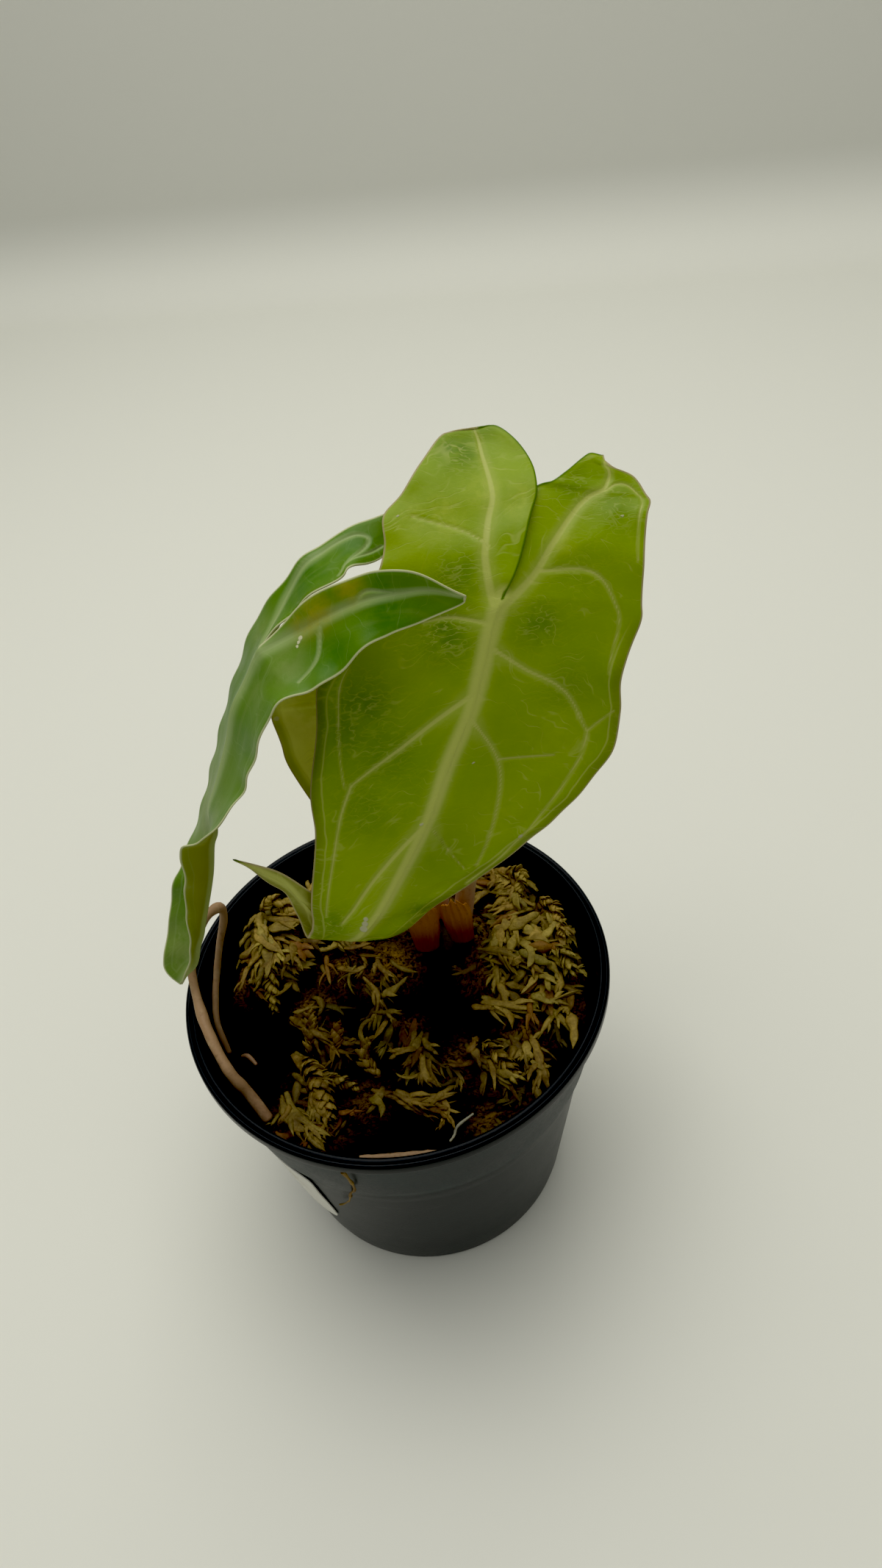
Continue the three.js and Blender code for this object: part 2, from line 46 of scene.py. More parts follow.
# Pot, in millimetres
POT_HEIGHT = 70.0
RIM_RADIUS = 45.0
LIP_HEIGHT = 2.6
LIP_DEPTH = 1.4
LIP_BOTTOM = POT_HEIGHT - LIP_HEIGHT
COLLAR_BOTTOM = 49.4
COLLAR_RADIUS = 40.7
COLLAR_STEP = 0.8
UNDER_STEP = COLLAR_BOTTOM - COLLAR_STEP
BASE_RADIUS = 32.5
POT_WALL = 1.2
POT_FLOOR = 2.0
DRAIN_COUNT = 6
DRAIN_RADIUS = 3.0
DRAIN_CIRCLE = 22.0

# Moss bed: a level with soft hills and hollows, each x, y, radius and height
MOSS_LEVEL = 56.0
MOSS_FORMS = [
    (28, 8, 15, 3.5), (4, 31, 13, 2), (-24, 18, 11, 2.5), (-2, -12, 9, 1.5), (11, 3, 6.5, -6),
    (3, -33, 8, -3.5), (-33, -1, 8, -3.5), (-30, 25, 9, 5.5), (29, 27, 8, 4.5),
]


# Colours and shader nodes
def srgb(red, green, blue):
    """A colour given in 0 to 255 display values, as the linear colour that shaders use."""
    shares = [value / 255 for value in (red, green, blue)]
    linear = [share / 12.92 if share <= 0.04045 else ((share + 0.055) / 1.055) ** 2.4 for share in shares]
    return (*linear, 1.0)


class Value:
    """One output of a material's nodes. Arithmetic on it adds nodes."""

    def __init__(self, shader, socket):
        self.shader = shader
        self.socket = socket

    def math(self, operation, *others):
        return self.shader.node("Math", dict(enumerate((self, *others))), operation=operation)

    def __mul__(self, other):
        return self.math("MULTIPLY", other)

    def __add__(self, other):
        return self.math("ADD", other)

    def __sub__(self, other):
        return self.math("SUBTRACT", other)

    def __abs__(self):
        return self.math("ABSOLUTE")

    def larger(self, other):
        return self.math("MAXIMUM", other)

    def linear(self, factor, offset):
        return self.math("MULTIPLY_ADD", factor, offset)

    def ramp(self, low, high, new_low=0.0, new_high=1.0):
        """Rises smoothly from new_low at low to new_high at high."""
        values = dict(enumerate((self, low, high, new_low, new_high)))
        return self.shader.node("MapRange", values, interpolation_type="SMOOTHSTEP")

    def fade(self, low, high):
        return self.ramp(low, high, 1.0, 0.0)

    def mix(self, first, second):
        """Goes from first to second as this value goes from 0 to 1."""
        return self.shader.mix(self, first, second)

    def part(self, axis):
        return self.shader.node("SeparateXYZ", {0: self}, axis)

    def stretched(self, *factors):
        return self.shader.node("VectorMath", {0: self, 1: factors}, operation="MULTIPLY")

    def noise(self, scale, detail=3.0, roughness=0.55, distortion=0.0):
        """A noise field at this place."""
        values = {"Vector": self, "Scale": scale, "Detail": detail, "Roughness": roughness}
        return self.shader.node("TexNoise", {**values, "Distortion": distortion})

    def bump(self, distance, strength=1.0, normal=None):
        """The surface normal with this value as relief, on top of another normal."""
        values = {"Height": self, "Distance": distance, "Strength": strength}
        return self.shader.node("Bump", {**values, "Normal": normal} if normal else values)


class Shader:
    """A node material under construction."""

    def __init__(self, name):
        self.material = bpy.data.materials.new(name)
        self.material.use_nodes = True
        self.tree = self.material.node_tree
        self.tree.nodes.clear()
        self.place = self.node("TexCoord", out="Object")

    def node(self, kind, values=None, out=0, **settings):
        """Adds a node and gives an output of it. values go to its inputs, linked or set."""
        made = self.tree.nodes.new("ShaderNode" + kind)
        for key, value in settings.items():
            setattr(made, key, value)
        for key, value in (values or {}).items():
            if isinstance(value, Value):
                self.tree.links.new(value.socket, made.inputs[key])
            else:
                made.inputs[key].default_value = value
        return Value(self, made.outputs[out])

    def field(self, name, out="Fac"):
        """A field that the mesh carries."""
        return self.node("Attribute", out=out, attribute_name=name)

    def mix(self, share, first, second, blend="MIX"):
        values = {0: share, 6: first, 7: second}
        return self.node("Mix", values, 2, data_type="RGBA", blend_type=blend)

    def surface(self, colour, rough, normal, specular=0.5, **coat):
        values = {"Base Color": colour, "Roughness": rough, "Specular IOR Level": specular}
        if normal:
            values["Normal"] = normal
        return self.node("BsdfPrincipled", {**values, **coat})

    def shining_through(self, surface, colour, share):
        """Lets a share of the light through a surface."""
        through = self.node("BsdfTranslucent", {"Color": colour})
        return self.node("MixShader", {0: share, 1: surface, 2: through})

    def finish(self, surface):
        output = self.tree.nodes.new("ShaderNodeOutputMaterial")
        self.tree.links.new(surface.socket, output.inputs["Surface"])
        return self.material


# Curves and grids of points
def unit(vectors):
    return vectors / np.maximum(np.linalg.norm(vectors, axis=-1, keepdims=True), 1e-9)


def bell(distance):
    return np.exp(-np.square(distance))


def smooth(value, low, high):
    share = np.clip((value - low) / (high - low), 0, 1)
    return share * share * (3 - 2 * share)


def clipped(value):
    return float(np.clip(value, 0, 1))


def along_spline(points, positions):
    """Points on a uniform Catmull-Rom curve, at positions counted in spans from its start."""
    knots = np.asarray(points, float)
    last = len(knots) - 1
    knots = np.vstack([2 * knots[0] - knots[1], knots, 2 * knots[-1] - knots[-2]])
    positions = np.clip(np.asarray(positions, float), 0, last)
    span = np.minimum(positions.astype(int), last - 1)
    share = (positions - span)[..., None]
    before, start, end, after = (knots[span + step] for step in range(4))
    leaving = (end - before) / 2
    arriving = (after - start) / 2
    square = 3 * (end - start) - 2 * leaving - arriving
    cube = 2 * (start - end) + leaving + arriving
    return start + share * (leaving + share * (square + share * cube))


def travelled(points):
    """How far along a path each of its points lies."""
    return np.concatenate([[0], np.cumsum(np.linalg.norm(np.diff(points, axis=0), axis=1))])


def even_points(points, step):
    """The same curve as points a given step apart."""
    fine = along_spline(points, np.linspace(0, len(points) - 1, 40 * len(points)))
    run = travelled(fine)
    wanted = np.linspace(0, run[-1], max(2, round(run[-1] / step) + 1))
    return np.column_stack([np.interp(wanted, run, fine[:, axis]) for axis in range(3)])


def turns(count):
    """Angles of evenly spaced points round a circle."""
    return 2 * np.pi * np.arange(count) / count


def polar(radius, angle, height):
    """Places at a radius and an angle round the pot's axis."""
    parts = np.broadcast_arrays(radius * np.cos(angle), radius * np.sin(angle), height)
    return np.stack(parts, axis=-1)


def squared_distances(points, others):
    return (points**2).sum(1)[:, None] + (others**2).sum(1)[None] - 2 * points @ others.T


def quads(grid):
    """Faces between neighbours in a grid of point numbers."""
    corners = [grid[:-1, :-1], grid[:-1, 1:], grid[1:, 1:], grid[1:, :-1]]
    return np.stack(corners, axis=-1).reshape(-1, 4)


def noise_at(x, y, z):
    """Smooth noise at many places."""
    return np.vectorize(lambda *place: noise.noise(place))(x, y, z)


def closed(grid):
    """The same grid with its first column again at the end."""
    return np.column_stack([grid, grid[:, 0]])


# Leaf blades. A blade is two half blades that share the rib. A half blade runs from the tip of its
# lobe to the tip of the leaf, between an inner line (the lobe's inside edge, then the rib) and the
# margin. The margin also has the first place of the lobe and the last of the rib. A place on it
# is a station along the blade and a share of the way out to the margin.
SIDES = {"left": 1, "right": -1}
FRONT_LEAF = {
    "bow": 0.9,
    "rib": [
        (29, 0.5, 156.5), (27, -1, 153), (24.5, -3.5, 146.5), (21.5, -6, 139.5), (17, -8.5, 132),
        (12, -12, 122.5), (4, -15, 110), (-0.5, -16.5, 104), (-5, -16, 99.5), (-9, -12.5, 100),
        (-12.5, -11.5, 108.5), (-16, -10.5, 113.5), (-22.5, -9, 118),
    ],
    "left": {
        "lobe": [
            (29.5, 24, 174), (32.5, 23.5, 174), (35.2, 20.5, 172.5), (36.9, 16.5, 170.5),
            (36.9, 11.5, 168.5), (35.4, 8.5, 166), (33.4, 4.5, 163), (31.4, 2, 159.5),
        ],
        "margin": [
            (25.5, 24, 174), (23, 23, 173.5), (19.5, 18.5, 172), (16, 14.5, 169.5), (12.5, 11.5, 167.5),
            (12, 8, 164.5), (10.5, 5.5, 161.5), (6.5, 3, 155.5), (1.5, 1.5, 149.5), (-2.5, 0, 145),
            (-4, -3, 138), (-7, -7, 128), (-7.5, -10, 121), (-10.5, -14, 109), (-11, -15.5, 104.5),
            (-12.5, -15, 100.5), (-13.5, -13, 101), (-14.5, -11.5, 108), (-17, -10.5, 112),
        ],
    },
    "right": {
        "lobe": [
            (48.5, 17, 169.5), (46, 17, 170), (42, 14.5, 169), (39.5, 13, 168.5), (36.5, 12.5, 168),
            (34.5, 10, 166), (32, 6, 163), (30.8, 3, 159.5),
        ],
        "margin": [
            (49, 15.5, 168.5), (52.5, 13.5, 167), (54, 11, 165), (54.5, 10, 164), (53.5, 8, 162.5),
            (52.5, 5, 159), (52, 3.5, 155.5), (51.5, 2, 151), (51, 1, 147.5), (47.5, -2, 140.5),
            (47, -3, 133.5), (45, -5, 126), (36, -8.5, 117.5), (26, -12, 111.5), (12, -15, 104.5),
            (1, -15.5, 97), (-6.5, -11.5, 104), (-10.5, -11, 109), (-15.5, -10, 114.5),
        ],
    },
}
LEFT_LEAF = {
    "bow": 1.0,
    "rib": [
        (-10.5, 3, 152.5), (-14, 2.5, 147), (-17.5, 2, 142), (-20, 1.5, 135.5), (-23.5, 1, 128),
        (-26.5, 0.5, 122), (-27, 0, 117), (-28.5, 0, 113.5), (-30.5, -0.5, 106.5), (-33.5, -1.5, 98.5),
        (-36.5, -3, 91), (-39, -4, 85), (-43, -4, 79.5),
    ],
    "left": {
        "lobe": [
            (22, 22, 160.5), (16.5, 18, 159.5), (11, 11, 160.5), (6.5, 7, 162), (4.5, 5.5, 161.5),
            (-1, 5, 159), (-5.5, 5, 155.5),
        ],
        "margin": [
            (17.5, 22, 163), (12.5, 18, 164.5), (7.5, 16.5, 164), (2, 15, 162.5), (-2, 14.5, 160.5),
            (-6.5, 14.5, 156), (-11.5, 15, 150.5), (-16, 15, 143), (-20.5, 15, 134.5), (-25, 14.5, 125),
            (-28.5, 13, 117.5), (-32, 11.5, 110.5), (-35, 9, 106), (-37, 6, 103.5), (-39.5, 4, 100),
            (-42, 2, 93), (-45, -1, 85.5), (-45.5, -2.5, 82.5),
        ],
    },
    "right": {
        "lobe": [
            (23, -4, 160.5), (22.5, -4, 161.5), (15.5, -2.5, 165.5), (10.5, 0, 165), (5.5, 2, 163),
            (-0.5, 3, 160.5), (-5, 3.5, 156.5),
        ],
        "margin": [
            (22.3, -4, 159.5), (16, -5, 158), (11, -5.5, 157), (7.5, -6, 156), (2.5, -7, 152.5),
            (-1.5, -8, 151), (-5, -8.5, 150.5), (-8.5, -9, 149), (-12, -9, 143), (-15, -9, 137),
            (-17.5, -10, 133), (-21.5, -12, 130), (-26, -12, 126), (-30, -10.5, 124),
            (-31.5, -9.5, 116.5), (-34.5, -7.5, 105.5), (-37.5, -5.5, 92), (-39.5, -5, 86.5),
        ],
    },
}
REAR_LEAF = {
    "bow": 1.0,
    "rib": [
        (5.5, 21, 133), (4.5, 20.5, 128), (3.5, 19.5, 123), (2, 18.5, 117), (0.5, 17.5, 111),
        (-1.5, 15, 102.5), (-4, 12, 92.5),
    ],
    "left": {
        "lobe": [
            (-0.5, 27, 140.5), (3.5, 26.5, 140.5), (5, 24, 137.5),
        ],
        "margin": [
            (-6, 25, 138.5), (-9.5, 24, 135), (-12, 23, 131), (-14.5, 22, 127.5), (-15, 21, 124),
            (-14.4, 20, 118.5), (-13.6, 18, 113), (-8.5, 14.5, 100),
        ],
    },
    "right": {
        "lobe": [
            (14.5, 27, 139), (10.5, 26.5, 140), (7.5, 24, 137.5),
        ],
        "margin": [
            (19.5, 25, 135), (20.5, 24, 130), (20.5, 23, 125.5), (19.5, 22, 121), (18, 21, 116.5),
            (14.5, 19.5, 109.5), (10, 18, 102.5), (3, 15, 95.5),
        ],
    },
}

# Veins: the half blade, the width at both ends, and the places it runs through.
FRONT_VEINS = [
    ("left", 2.3, 0.5, [(8.5, 0), (6.5, 0.25), (4.5, 0.3), (2.5, 0.45), (1, 0.5)]),
    ("left", 0.6, 0.35, [(6, 0.25), (5.5, 0.45), (5, 0.8)]),
    ("right", 2.2, 0.5, [(8.5, 0), (7, 0.2), (5, 0.4), (2.5, 0.6), (1, 0.8)]),
    ("right", 0.8, 0.35, [(7, 0.2), (7, 0.6), (8, 0.8), (10, 0.9)]),
    ("right", 0.5, 0.3, [(3.5, 0.5), (2.5, 0.7), (3, 0.9), (6.5, 0.95)]),
    ("right", 1.1, 0.5, [(9.5, 0), (10, 0.3), (10.5, 0.6), (11.5, 0.8)]),
    ("right", 0.6, 0.35, [(11.5, 0.8), (13, 0.85), (14.5, 0.9)]),
    ("right", 0.5, 0.3, [(11.5, 0.8), (11, 0.95)]),
    ("left", 1.1, 0.4, [(9, 0), (8.5, 0.3), (8.5, 0.5)]),
    ("left", 1.4, 0.45, [(10.5, 0), (11, 0.2), (11.5, 0.4), (12, 0.7)]),
    ("left", 0.6, 0.35, [(12, 0.7), (13, 0.8), (14.5, 0.8)]),
    ("right", 0.9, 0.4, [(11, 0), (12, 0.3), (13, 0.5), (14, 0.7)]),
    ("right", 0.4, 0.3, [(12, 0.3), (12, 0.65)]),
    ("left", 1.2, 0.6, [(13, 0), (13.5, 0.2), (14, 0.35), (15, 0.5)]),
    ("right", 0.4, 0.3, [(13, 0), (14, 0.6)]),
    ("left", 0.4, 0.35, [(9.5, 0.85), (11, 0.85), (12, 0.75)]),
]
LEFT_VEINS = [
    ("right", 1.8, 0.4, [(7.5, 0), (6, 0.2), (5, 0.3), (3, 0.4), (2, 0.4), (1, 0.2)]),
    ("right", 0.5, 0.3, [(5, 0.3), (5.5, 0.65), (6.5, 0.8)]),
    ("right", 0.5, 0.3, [(4, 0.35), (3.5, 0.25), (2.5, 0.4)]),
    ("left", 1.8, 0.6, [(7, 0), (6.5, 0.4), (5.5, 0.75), (4, 0.85), (3, 0.8)]),
    ("left", 0.6, 0.35, [(4, 0.85), (3, 0.8), (2.5, 0.6), (2.8, 0.35), (4, 0.1)]),
    ("left", 0.5, 0.35, [(3.5, 0.2), (2, 0.3)]),
]
REAR_VEINS = [
    ("left", 0.7, 0.3, [(4, 0), (4.5, 0.5), (4.5, 0.9)]),
    ("right", 0.7, 0.3, [(4, 0), (4.5, 0.6), (5, 0.85)]),
]

# Marks on the blades by kind, each with half blade, station, share, radius and strength.
FRONT_MARKS = {
    # Dark marks: the leaf's own darker netted patches, and on the left half broad ones that are painted
    # shade.
    "dark": [
        ("left", 9, 0.3, 4, 1), ("right", 9, 0.3, 3.5, 0.8), ("left", 7, 0.4, 3.5, 0.7),
        ("left", 2.5, 0.7, 3.5, 1), ("right", 3, 0.25, 3.5, 0.5), ("right", 10.5, 0.6, 4, 0.35),
        ("left", 10.5, 0.7, 5, 0.8), ("left", 11, 0.8, 4, 0.7), ("left", 11.5, 0.5, 5, 0.5),
        ("left", 12.5, 0.6, 5, 0.4), ("left", 15, 0.7, 3, 0.8), ("right", 15, 0.7, 3, 0.7),
        ("left", 1, 0.3, 2.6, 0.5), ("right", 4.5, 0.75, 4, 0.5), ("right", 7, 0.5, 5, 0.3),
    ],
    # Pale marks: paler tissue, and on the right half broad ones that are painted light.
    "pale": [
        ("left", 6.5, 0.75, 4, 0.7), ("right", 11.5, 0.6, 7, 0.8), ("right", 13, 0.5, 7, 0.8),
        ("left", 13.8, 0.4, 5, 0.6), ("right", 14.5, 0.3, 4, 0.5),
    ],
    # These marks are painted highlights: pale flecked colour where light would glint off the curled-back
    # lobes.
    "shine": [
        ("left", 4.5, 0.1, 3.2, 0.8), ("left", 4, 0.4, 3.3, 0.8), ("left", 5, 0.6, 3.6, 0.9),
        ("left", 5, 0.8, 3, 0.8), ("right", 6, 0.4, 2, 0.8), ("right", 9.5, 0.9, 2.6, 0.5),
    ],
    "spot": [
        ("left", 15.2, 0.08, 0.75, 1), ("left", 15, 0.12, 0.6, 1), ("left", 14.8, 0.16, 0.5, 0.9),
        ("left", 13, 0.05, 0.4, 0.9), ("right", 13.5, 0.85, 0.5, 0.9), ("right", 12, 0.15, 0.3, 0.9),
        ("right", 5, 0.8, 0.3, 0.8), ("left", 5, 0.9, 0.3, 0.8),
    ],
}
LEFT_MARKS = {
    "dark": [
        ("right", 3, 0.7, 5, 1), ("right", 5, 0.75, 4.5, 0.9), ("right", 3, 0.2, 3, 0.8),
        ("right", 9.5, 0.6, 4, 0.5), ("left", 5, 0.5, 5, 1), ("left", 3, 0.5, 4, 0.7),
    ],
    # Pale marks down the lower blade: the grey waxy bloom, with painted sheen, a reflection painted as
    # colour.
    "pale": [
        ("right", 6.5, 0.5, 4.5, 0.8), ("right", 8, 0.4, 4, 0.5), ("right", 12, 0.5, 6, 0.5),
        ("right", 15, 0.5, 8, 0.7), ("left", 7, 0.5, 4, 0.6), ("left", 12, 0.5, 8, 0.9),
        ("left", 17, 0.5, 8, 1),
    ],
    "rust": [
        ("right", 5.5, 0.2, 2.4, 1), ("right", 5, 0.2, 3, 1), ("right", 4, 0.1, 2.6, 1),
    ],
    "spot": [
        ("right", 5.8, 0.3, 0.45, 0.9), ("right", 5.9, 0.33, 0.35, 0.9), ("right", 6, 0.36, 0.3, 0.9),
    ],
}
REAR_MARKS = {
    "pale": [
        ("left", 4.5, 0.5, 7, 0.5),
    ],
    "spot": [
        ("left", 5, 0.95, 0.6, 0.9),
    ],
}

# Relief of the blades, in millimetres
QUILT_HEIGHT = 0.45
GROOVE_DEPTH = 0.22
WAVE_HEIGHT = 0.22
# Edges that roll under: half blade, first and last station, depth inwards and drop.
FRONT_ROLLS = [("left", 8.5, 16.5, 2.6, 1.2), ("right", 13, 17.5, 3.0, 1.4)]


def margin(leaf, side):
    """A half blade's outer line, from the tip of its lobe to the tip of the leaf."""
    return [leaf[side]["lobe"][0], *leaf[side]["margin"], leaf["rib"][-1]]


def half_blade(leaf, side, stations, shares):
    """Places on the middle surface of a half blade, in millimetres."""
    lobe = leaf[side]["lobe"]
    lobe_spans = len(lobe)
    lobe = along_spline([*lobe, leaf["rib"][0]], np.minimum(stations, lobe_spans))
    rib = along_spline(leaf["rib"], np.maximum(stations - lobe_spans, 0))
    inner = np.where((stations <= lobe_spans)[..., None], lobe, rib)
    rail = margin(leaf, side)
    outer = along_spline(rail, stations)
    ahead = along_spline(rail, np.minimum(stations + 0.5, len(rail) - 1))
    across = outer - inner
    width = np.linalg.norm(across, axis=-1, keepdims=True)
    full_bow = 12
    rise = SIDES[side] * leaf["bow"] * np.minimum(1, width / full_bow)
    share = shares[..., None]
    normal = unit(np.cross(ahead - outer, across))
    return inner + share * across + normal * rise * np.sin(np.pi * share)


def row_stations(leaf, cell):
    """Stations of the rows of a blade's mesh, about a cell apart where the blade is longest."""
    count = len(margin(leaf, "left"))
    stations = []
    for start in range(count - 1):
        ends = np.array([start, start + 1.0])
        rails = [half_blade(leaf, side, ends, np.full(2, end)) for side in SIDES for end in (0.0, 1.0)]
        longest = max(np.linalg.norm(rail[1] - rail[0]) for rail in rails)
        steps = max(5, math.ceil(longest / cell))
        stations.extend(start + np.arange(steps) / steps)
    return np.array([*stations, count - 1.0])


def line_distance(points, line, start_width, end_width):
    """Distance from each point to a line, and to its middle in half widths."""
    step = np.diff(line, axis=0, append=2 * line[-1:] - line[-2:-1])
    length = np.linalg.norm(step, axis=1)
    direction = step / length[:, None]
    nearest = squared_distances(points, line).argmin(1)
    offset = points - line[nearest]
    run = (offset * direction[nearest]).sum(1)
    run = np.clip(run, -length[nearest], length[nearest])
    distance = np.linalg.norm(offset - direction[nearest] * run[:, None], axis=1)
    share = nearest / (len(line) - 1)
    half_width = (start_width + (end_width - start_width) * share) / 2
    return distance, distance / half_width


class Blade:
    """The middle surface of a leaf blade as a fine mesh, with what its relief and colours need."""

    def __init__(self, leaf, veins, marks, rib_widths, cell, columns):
        shares = np.linspace(0, 1, columns + 1)
        station, share = np.meshgrid(row_stations(leaf, cell), shares, indexing="ij")
        index = np.arange(share.size).reshape(share.shape)
        points, flat, faces = [], [], []
        for side, sign in SIDES.items():
            grid = half_blade(leaf, side, station, share)
            width = np.linalg.norm(grid[:, -1] - grid[:, 0], axis=1)[:, None]
            along = travelled(grid[:, columns // 2])[:, None]
            parts = np.broadcast_arrays(along, sign * (share * width + 0.5), 0.0)
            flat.append(np.stack(parts, axis=-1).reshape(-1, 3))
            faces.append(quads(index + len(points) * share.size)[:, ::sign])
            points.append(grid.reshape(-1, 3))
        points = np.concatenate(points)
        # Points in the same place, along the rib and at the tips, become one.
        keys = np.round(points, 4)
        _, first, where = np.unique(keys, axis=0, return_index=True, return_inverse=True)
        self.faces = where.reshape(-1)[np.concatenate(faces)]
        self.points = points[first]
        self.flat = np.concatenate(flat)[first]
        self.side = np.repeat([1, -1], share.size)[first]
        self.station = np.tile(station.ravel(), 2)[first]
        self.edge = self.edge_distance()
        self.vein, self.reach = self.vein_fields(leaf, veins, rib_widths)
        lobe_spans = len(leaf["left"]["lobe"])
        self.fields = {
            "vein": self.vein,
            "edge": self.edge,
            "reach": self.reach,
            "body": smooth(self.station, lobe_spans + 0.5, lobe_spans + 2),
            "outer": smooth(np.tile(share.ravel(), 2)[first], 0.2, 0.5),
            "flat": self.flat,
        }
        for kind in ("dark", "pale", "shine", "rust", "spot"):
            self.fields[kind] = self.mark_field(leaf, marks.get(kind, []))

    def mark_field(self, leaf, marks):
        """How strongly each point is marked, from 0 to 1."""
        field = np.zeros(len(self.points))
        for side, station, share, radius, strength in marks:
            middle = half_blade(leaf, side, np.array(float(station)), np.array(share))
            distance = np.linalg.norm(self.points - middle, axis=1) / radius
            field = np.maximum(field, strength * bell(distance))
        return field

    def vein_fields(self, leaf, veins, rib_widths):
        """Nearness to a vein in half widths, and the distance to any vein in millimetres."""
        lines = [(even_points(leaf["rib"], 0.4), *rib_widths)]
        for side, start_width, end_width, places in veins:
            flat = [(station, share, 0) for station, share in places]
            fine = along_spline(flat, np.linspace(0, len(flat) - 1, 60 * len(flat)))
            lines.append((half_blade(leaf, side, fine[:, 0], fine[:, 1]), start_width, end_width))
        reach, vein = np.full(len(self.points), 99.0), np.full(len(self.points), 9.0)
        for line in lines:
            distance, halves = line_distance(self.points, *line)
            vein = np.minimum(vein, halves)
            reach = np.minimum(reach, distance)
        return vein, reach

    def border(self):
        """Directed edges along the blade's outline."""
        pairs = np.concatenate([self.faces[:, [k, (k + 1) % 4]] for k in range(4)])
        pairs = pairs[pairs[:, 0] != pairs[:, 1]]
        count = len(self.points)
        key = pairs[:, 0] * count + pairs[:, 1]
        back = pairs[:, 1] * count + pairs[:, 0]
        return pairs[~np.isin(key, back)]

    def edge_distance(self):
        """Distance of each point to the blade's outline."""
        ends = self.points[np.unique(self.border())]
        nearest = [squared_distances(part, ends).min(1) for part in np.array_split(self.points, 40)]
        return np.sqrt(np.maximum(np.concatenate(nearest), 0))

    def normals(self):
        corner = self.points[self.faces]
        face = np.cross(corner[:, 2] - corner[:, 0], corner[:, 3] - corner[:, 1])
        normal = np.zeros_like(self.points)
        for k in range(4):
            np.add.at(normal, self.faces[:, k], face)
        return unit(normal)


def solid(name, points, faces, materials, nodes, fields=None):
    """A smooth mesh piece from points in millimetres, standing for the named CAD nodes."""
    mesh = bpy.data.meshes.new(name)
    mesh.from_pydata((np.asarray(points) * MM).tolist(), [], faces)
    for material in materials:
        mesh.materials.append(material)
    mesh.polygons.foreach_set("use_smooth", [True] * len(mesh.polygons))
    for label, values in (fields or {}).items():
        kind, key = ("FLOAT", "value") if np.ndim(values) == 1 else ("FLOAT_VECTOR", "vector")
        data = mesh.attributes.new(label, kind, "POINT").data
        data.foreach_set(key, np.asarray(values, np.float32).ravel())
    mesh.update()
    piece = bpy.data.objects.new(name, mesh)
    bpy.context.scene.collection.objects.link(piece)
    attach(piece, BODY)
    if nodes:
        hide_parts(*nodes)
    return piece


def leaf_piece(name, blade, thickness, rib_bulge, rolls, materials):
    """Closes a blade round its edge, as a piece with an upper side, a back and a rim."""
    quilt = QUILT_HEIGHT * (1 - bell(blade.reach / 4.5)) * smooth(blade.edge, 0, 5)
    groove = -GROOVE_DEPTH * bell(blade.vein / 1.1) * smooth(blade.edge, 0, 2)
    wave = WAVE_HEIGHT * np.sin(blade.flat[:, 0] * 0.75) * bell(blade.edge / 3.0)
    height = quilt + groove + wave
    for side, start, end, reach, drop in rolls:
        ease = 0.8
        inside = smooth(blade.station, start, start + ease) * (1 - smooth(blade.station, end - ease, end))
        curl = np.clip(1 - blade.edge / reach, 0, 1) ** 2
        height = height - drop * curl * inside * (blade.side == SIDES[side])
    normal = blade.normals()
    middle = blade.points + normal * height[:, None]
    half = thickness / 2 * (0.45 + 0.55 * smooth(blade.edge, 0, 0.9))
    bulge = rib_bulge * bell(blade.vein / 0.9) * smooth(blade.edge, 0, 3)
    points = np.concatenate([middle + normal * half[:, None], middle - normal * (half + bulge)[:, None]])
    size = len(middle)
    # A face whose corners were merged keeps each corner once.
    upper = [tuple(dict.fromkeys(face)) for face in blade.faces.tolist()]
    upper = [face for face in upper if len(face) > 2]
    lower = [tuple(size + corner for corner in reversed(face)) for face in upper]
    rim = [(b, a, size + a, size + b) for a, b in blade.border().tolist()]
    fields = {label: np.concatenate([values, values]) for label, values in blade.fields.items()}
    faces = upper + lower + rim
    piece = solid(name, points, faces, materials, [f"{name}_blade"], fields)
    piece.data.polygons.foreach_set("material_index", [0] * len(upper) + [1] * len(lower + rim))


def contour_lines(place, scale, thickness):
    """Thin wandering lines, where a noise field crosses its middle value."""
    return abs(place.noise(scale, 1.5, 0.4) - 0.5).fade(0.0, thickness)


def side_lines(flat):
    """Fine side veins that run outwards from the rib and slant towards the tip."""
    across = flat.part("Y")
    along = abs(across).linear(-0.35, flat.part("X"))
    along = flat.noise(0.1, 2).linear(14.0, along)
    stretched = flat.shader.node("CombineXYZ", {"X": along, "Y": across * 0.2})
    return contour_lines(stretched, 0.34, 0.02) * flat.noise(0.25, 2).ramp(0.38, 0.62, 0.25, 1.0)


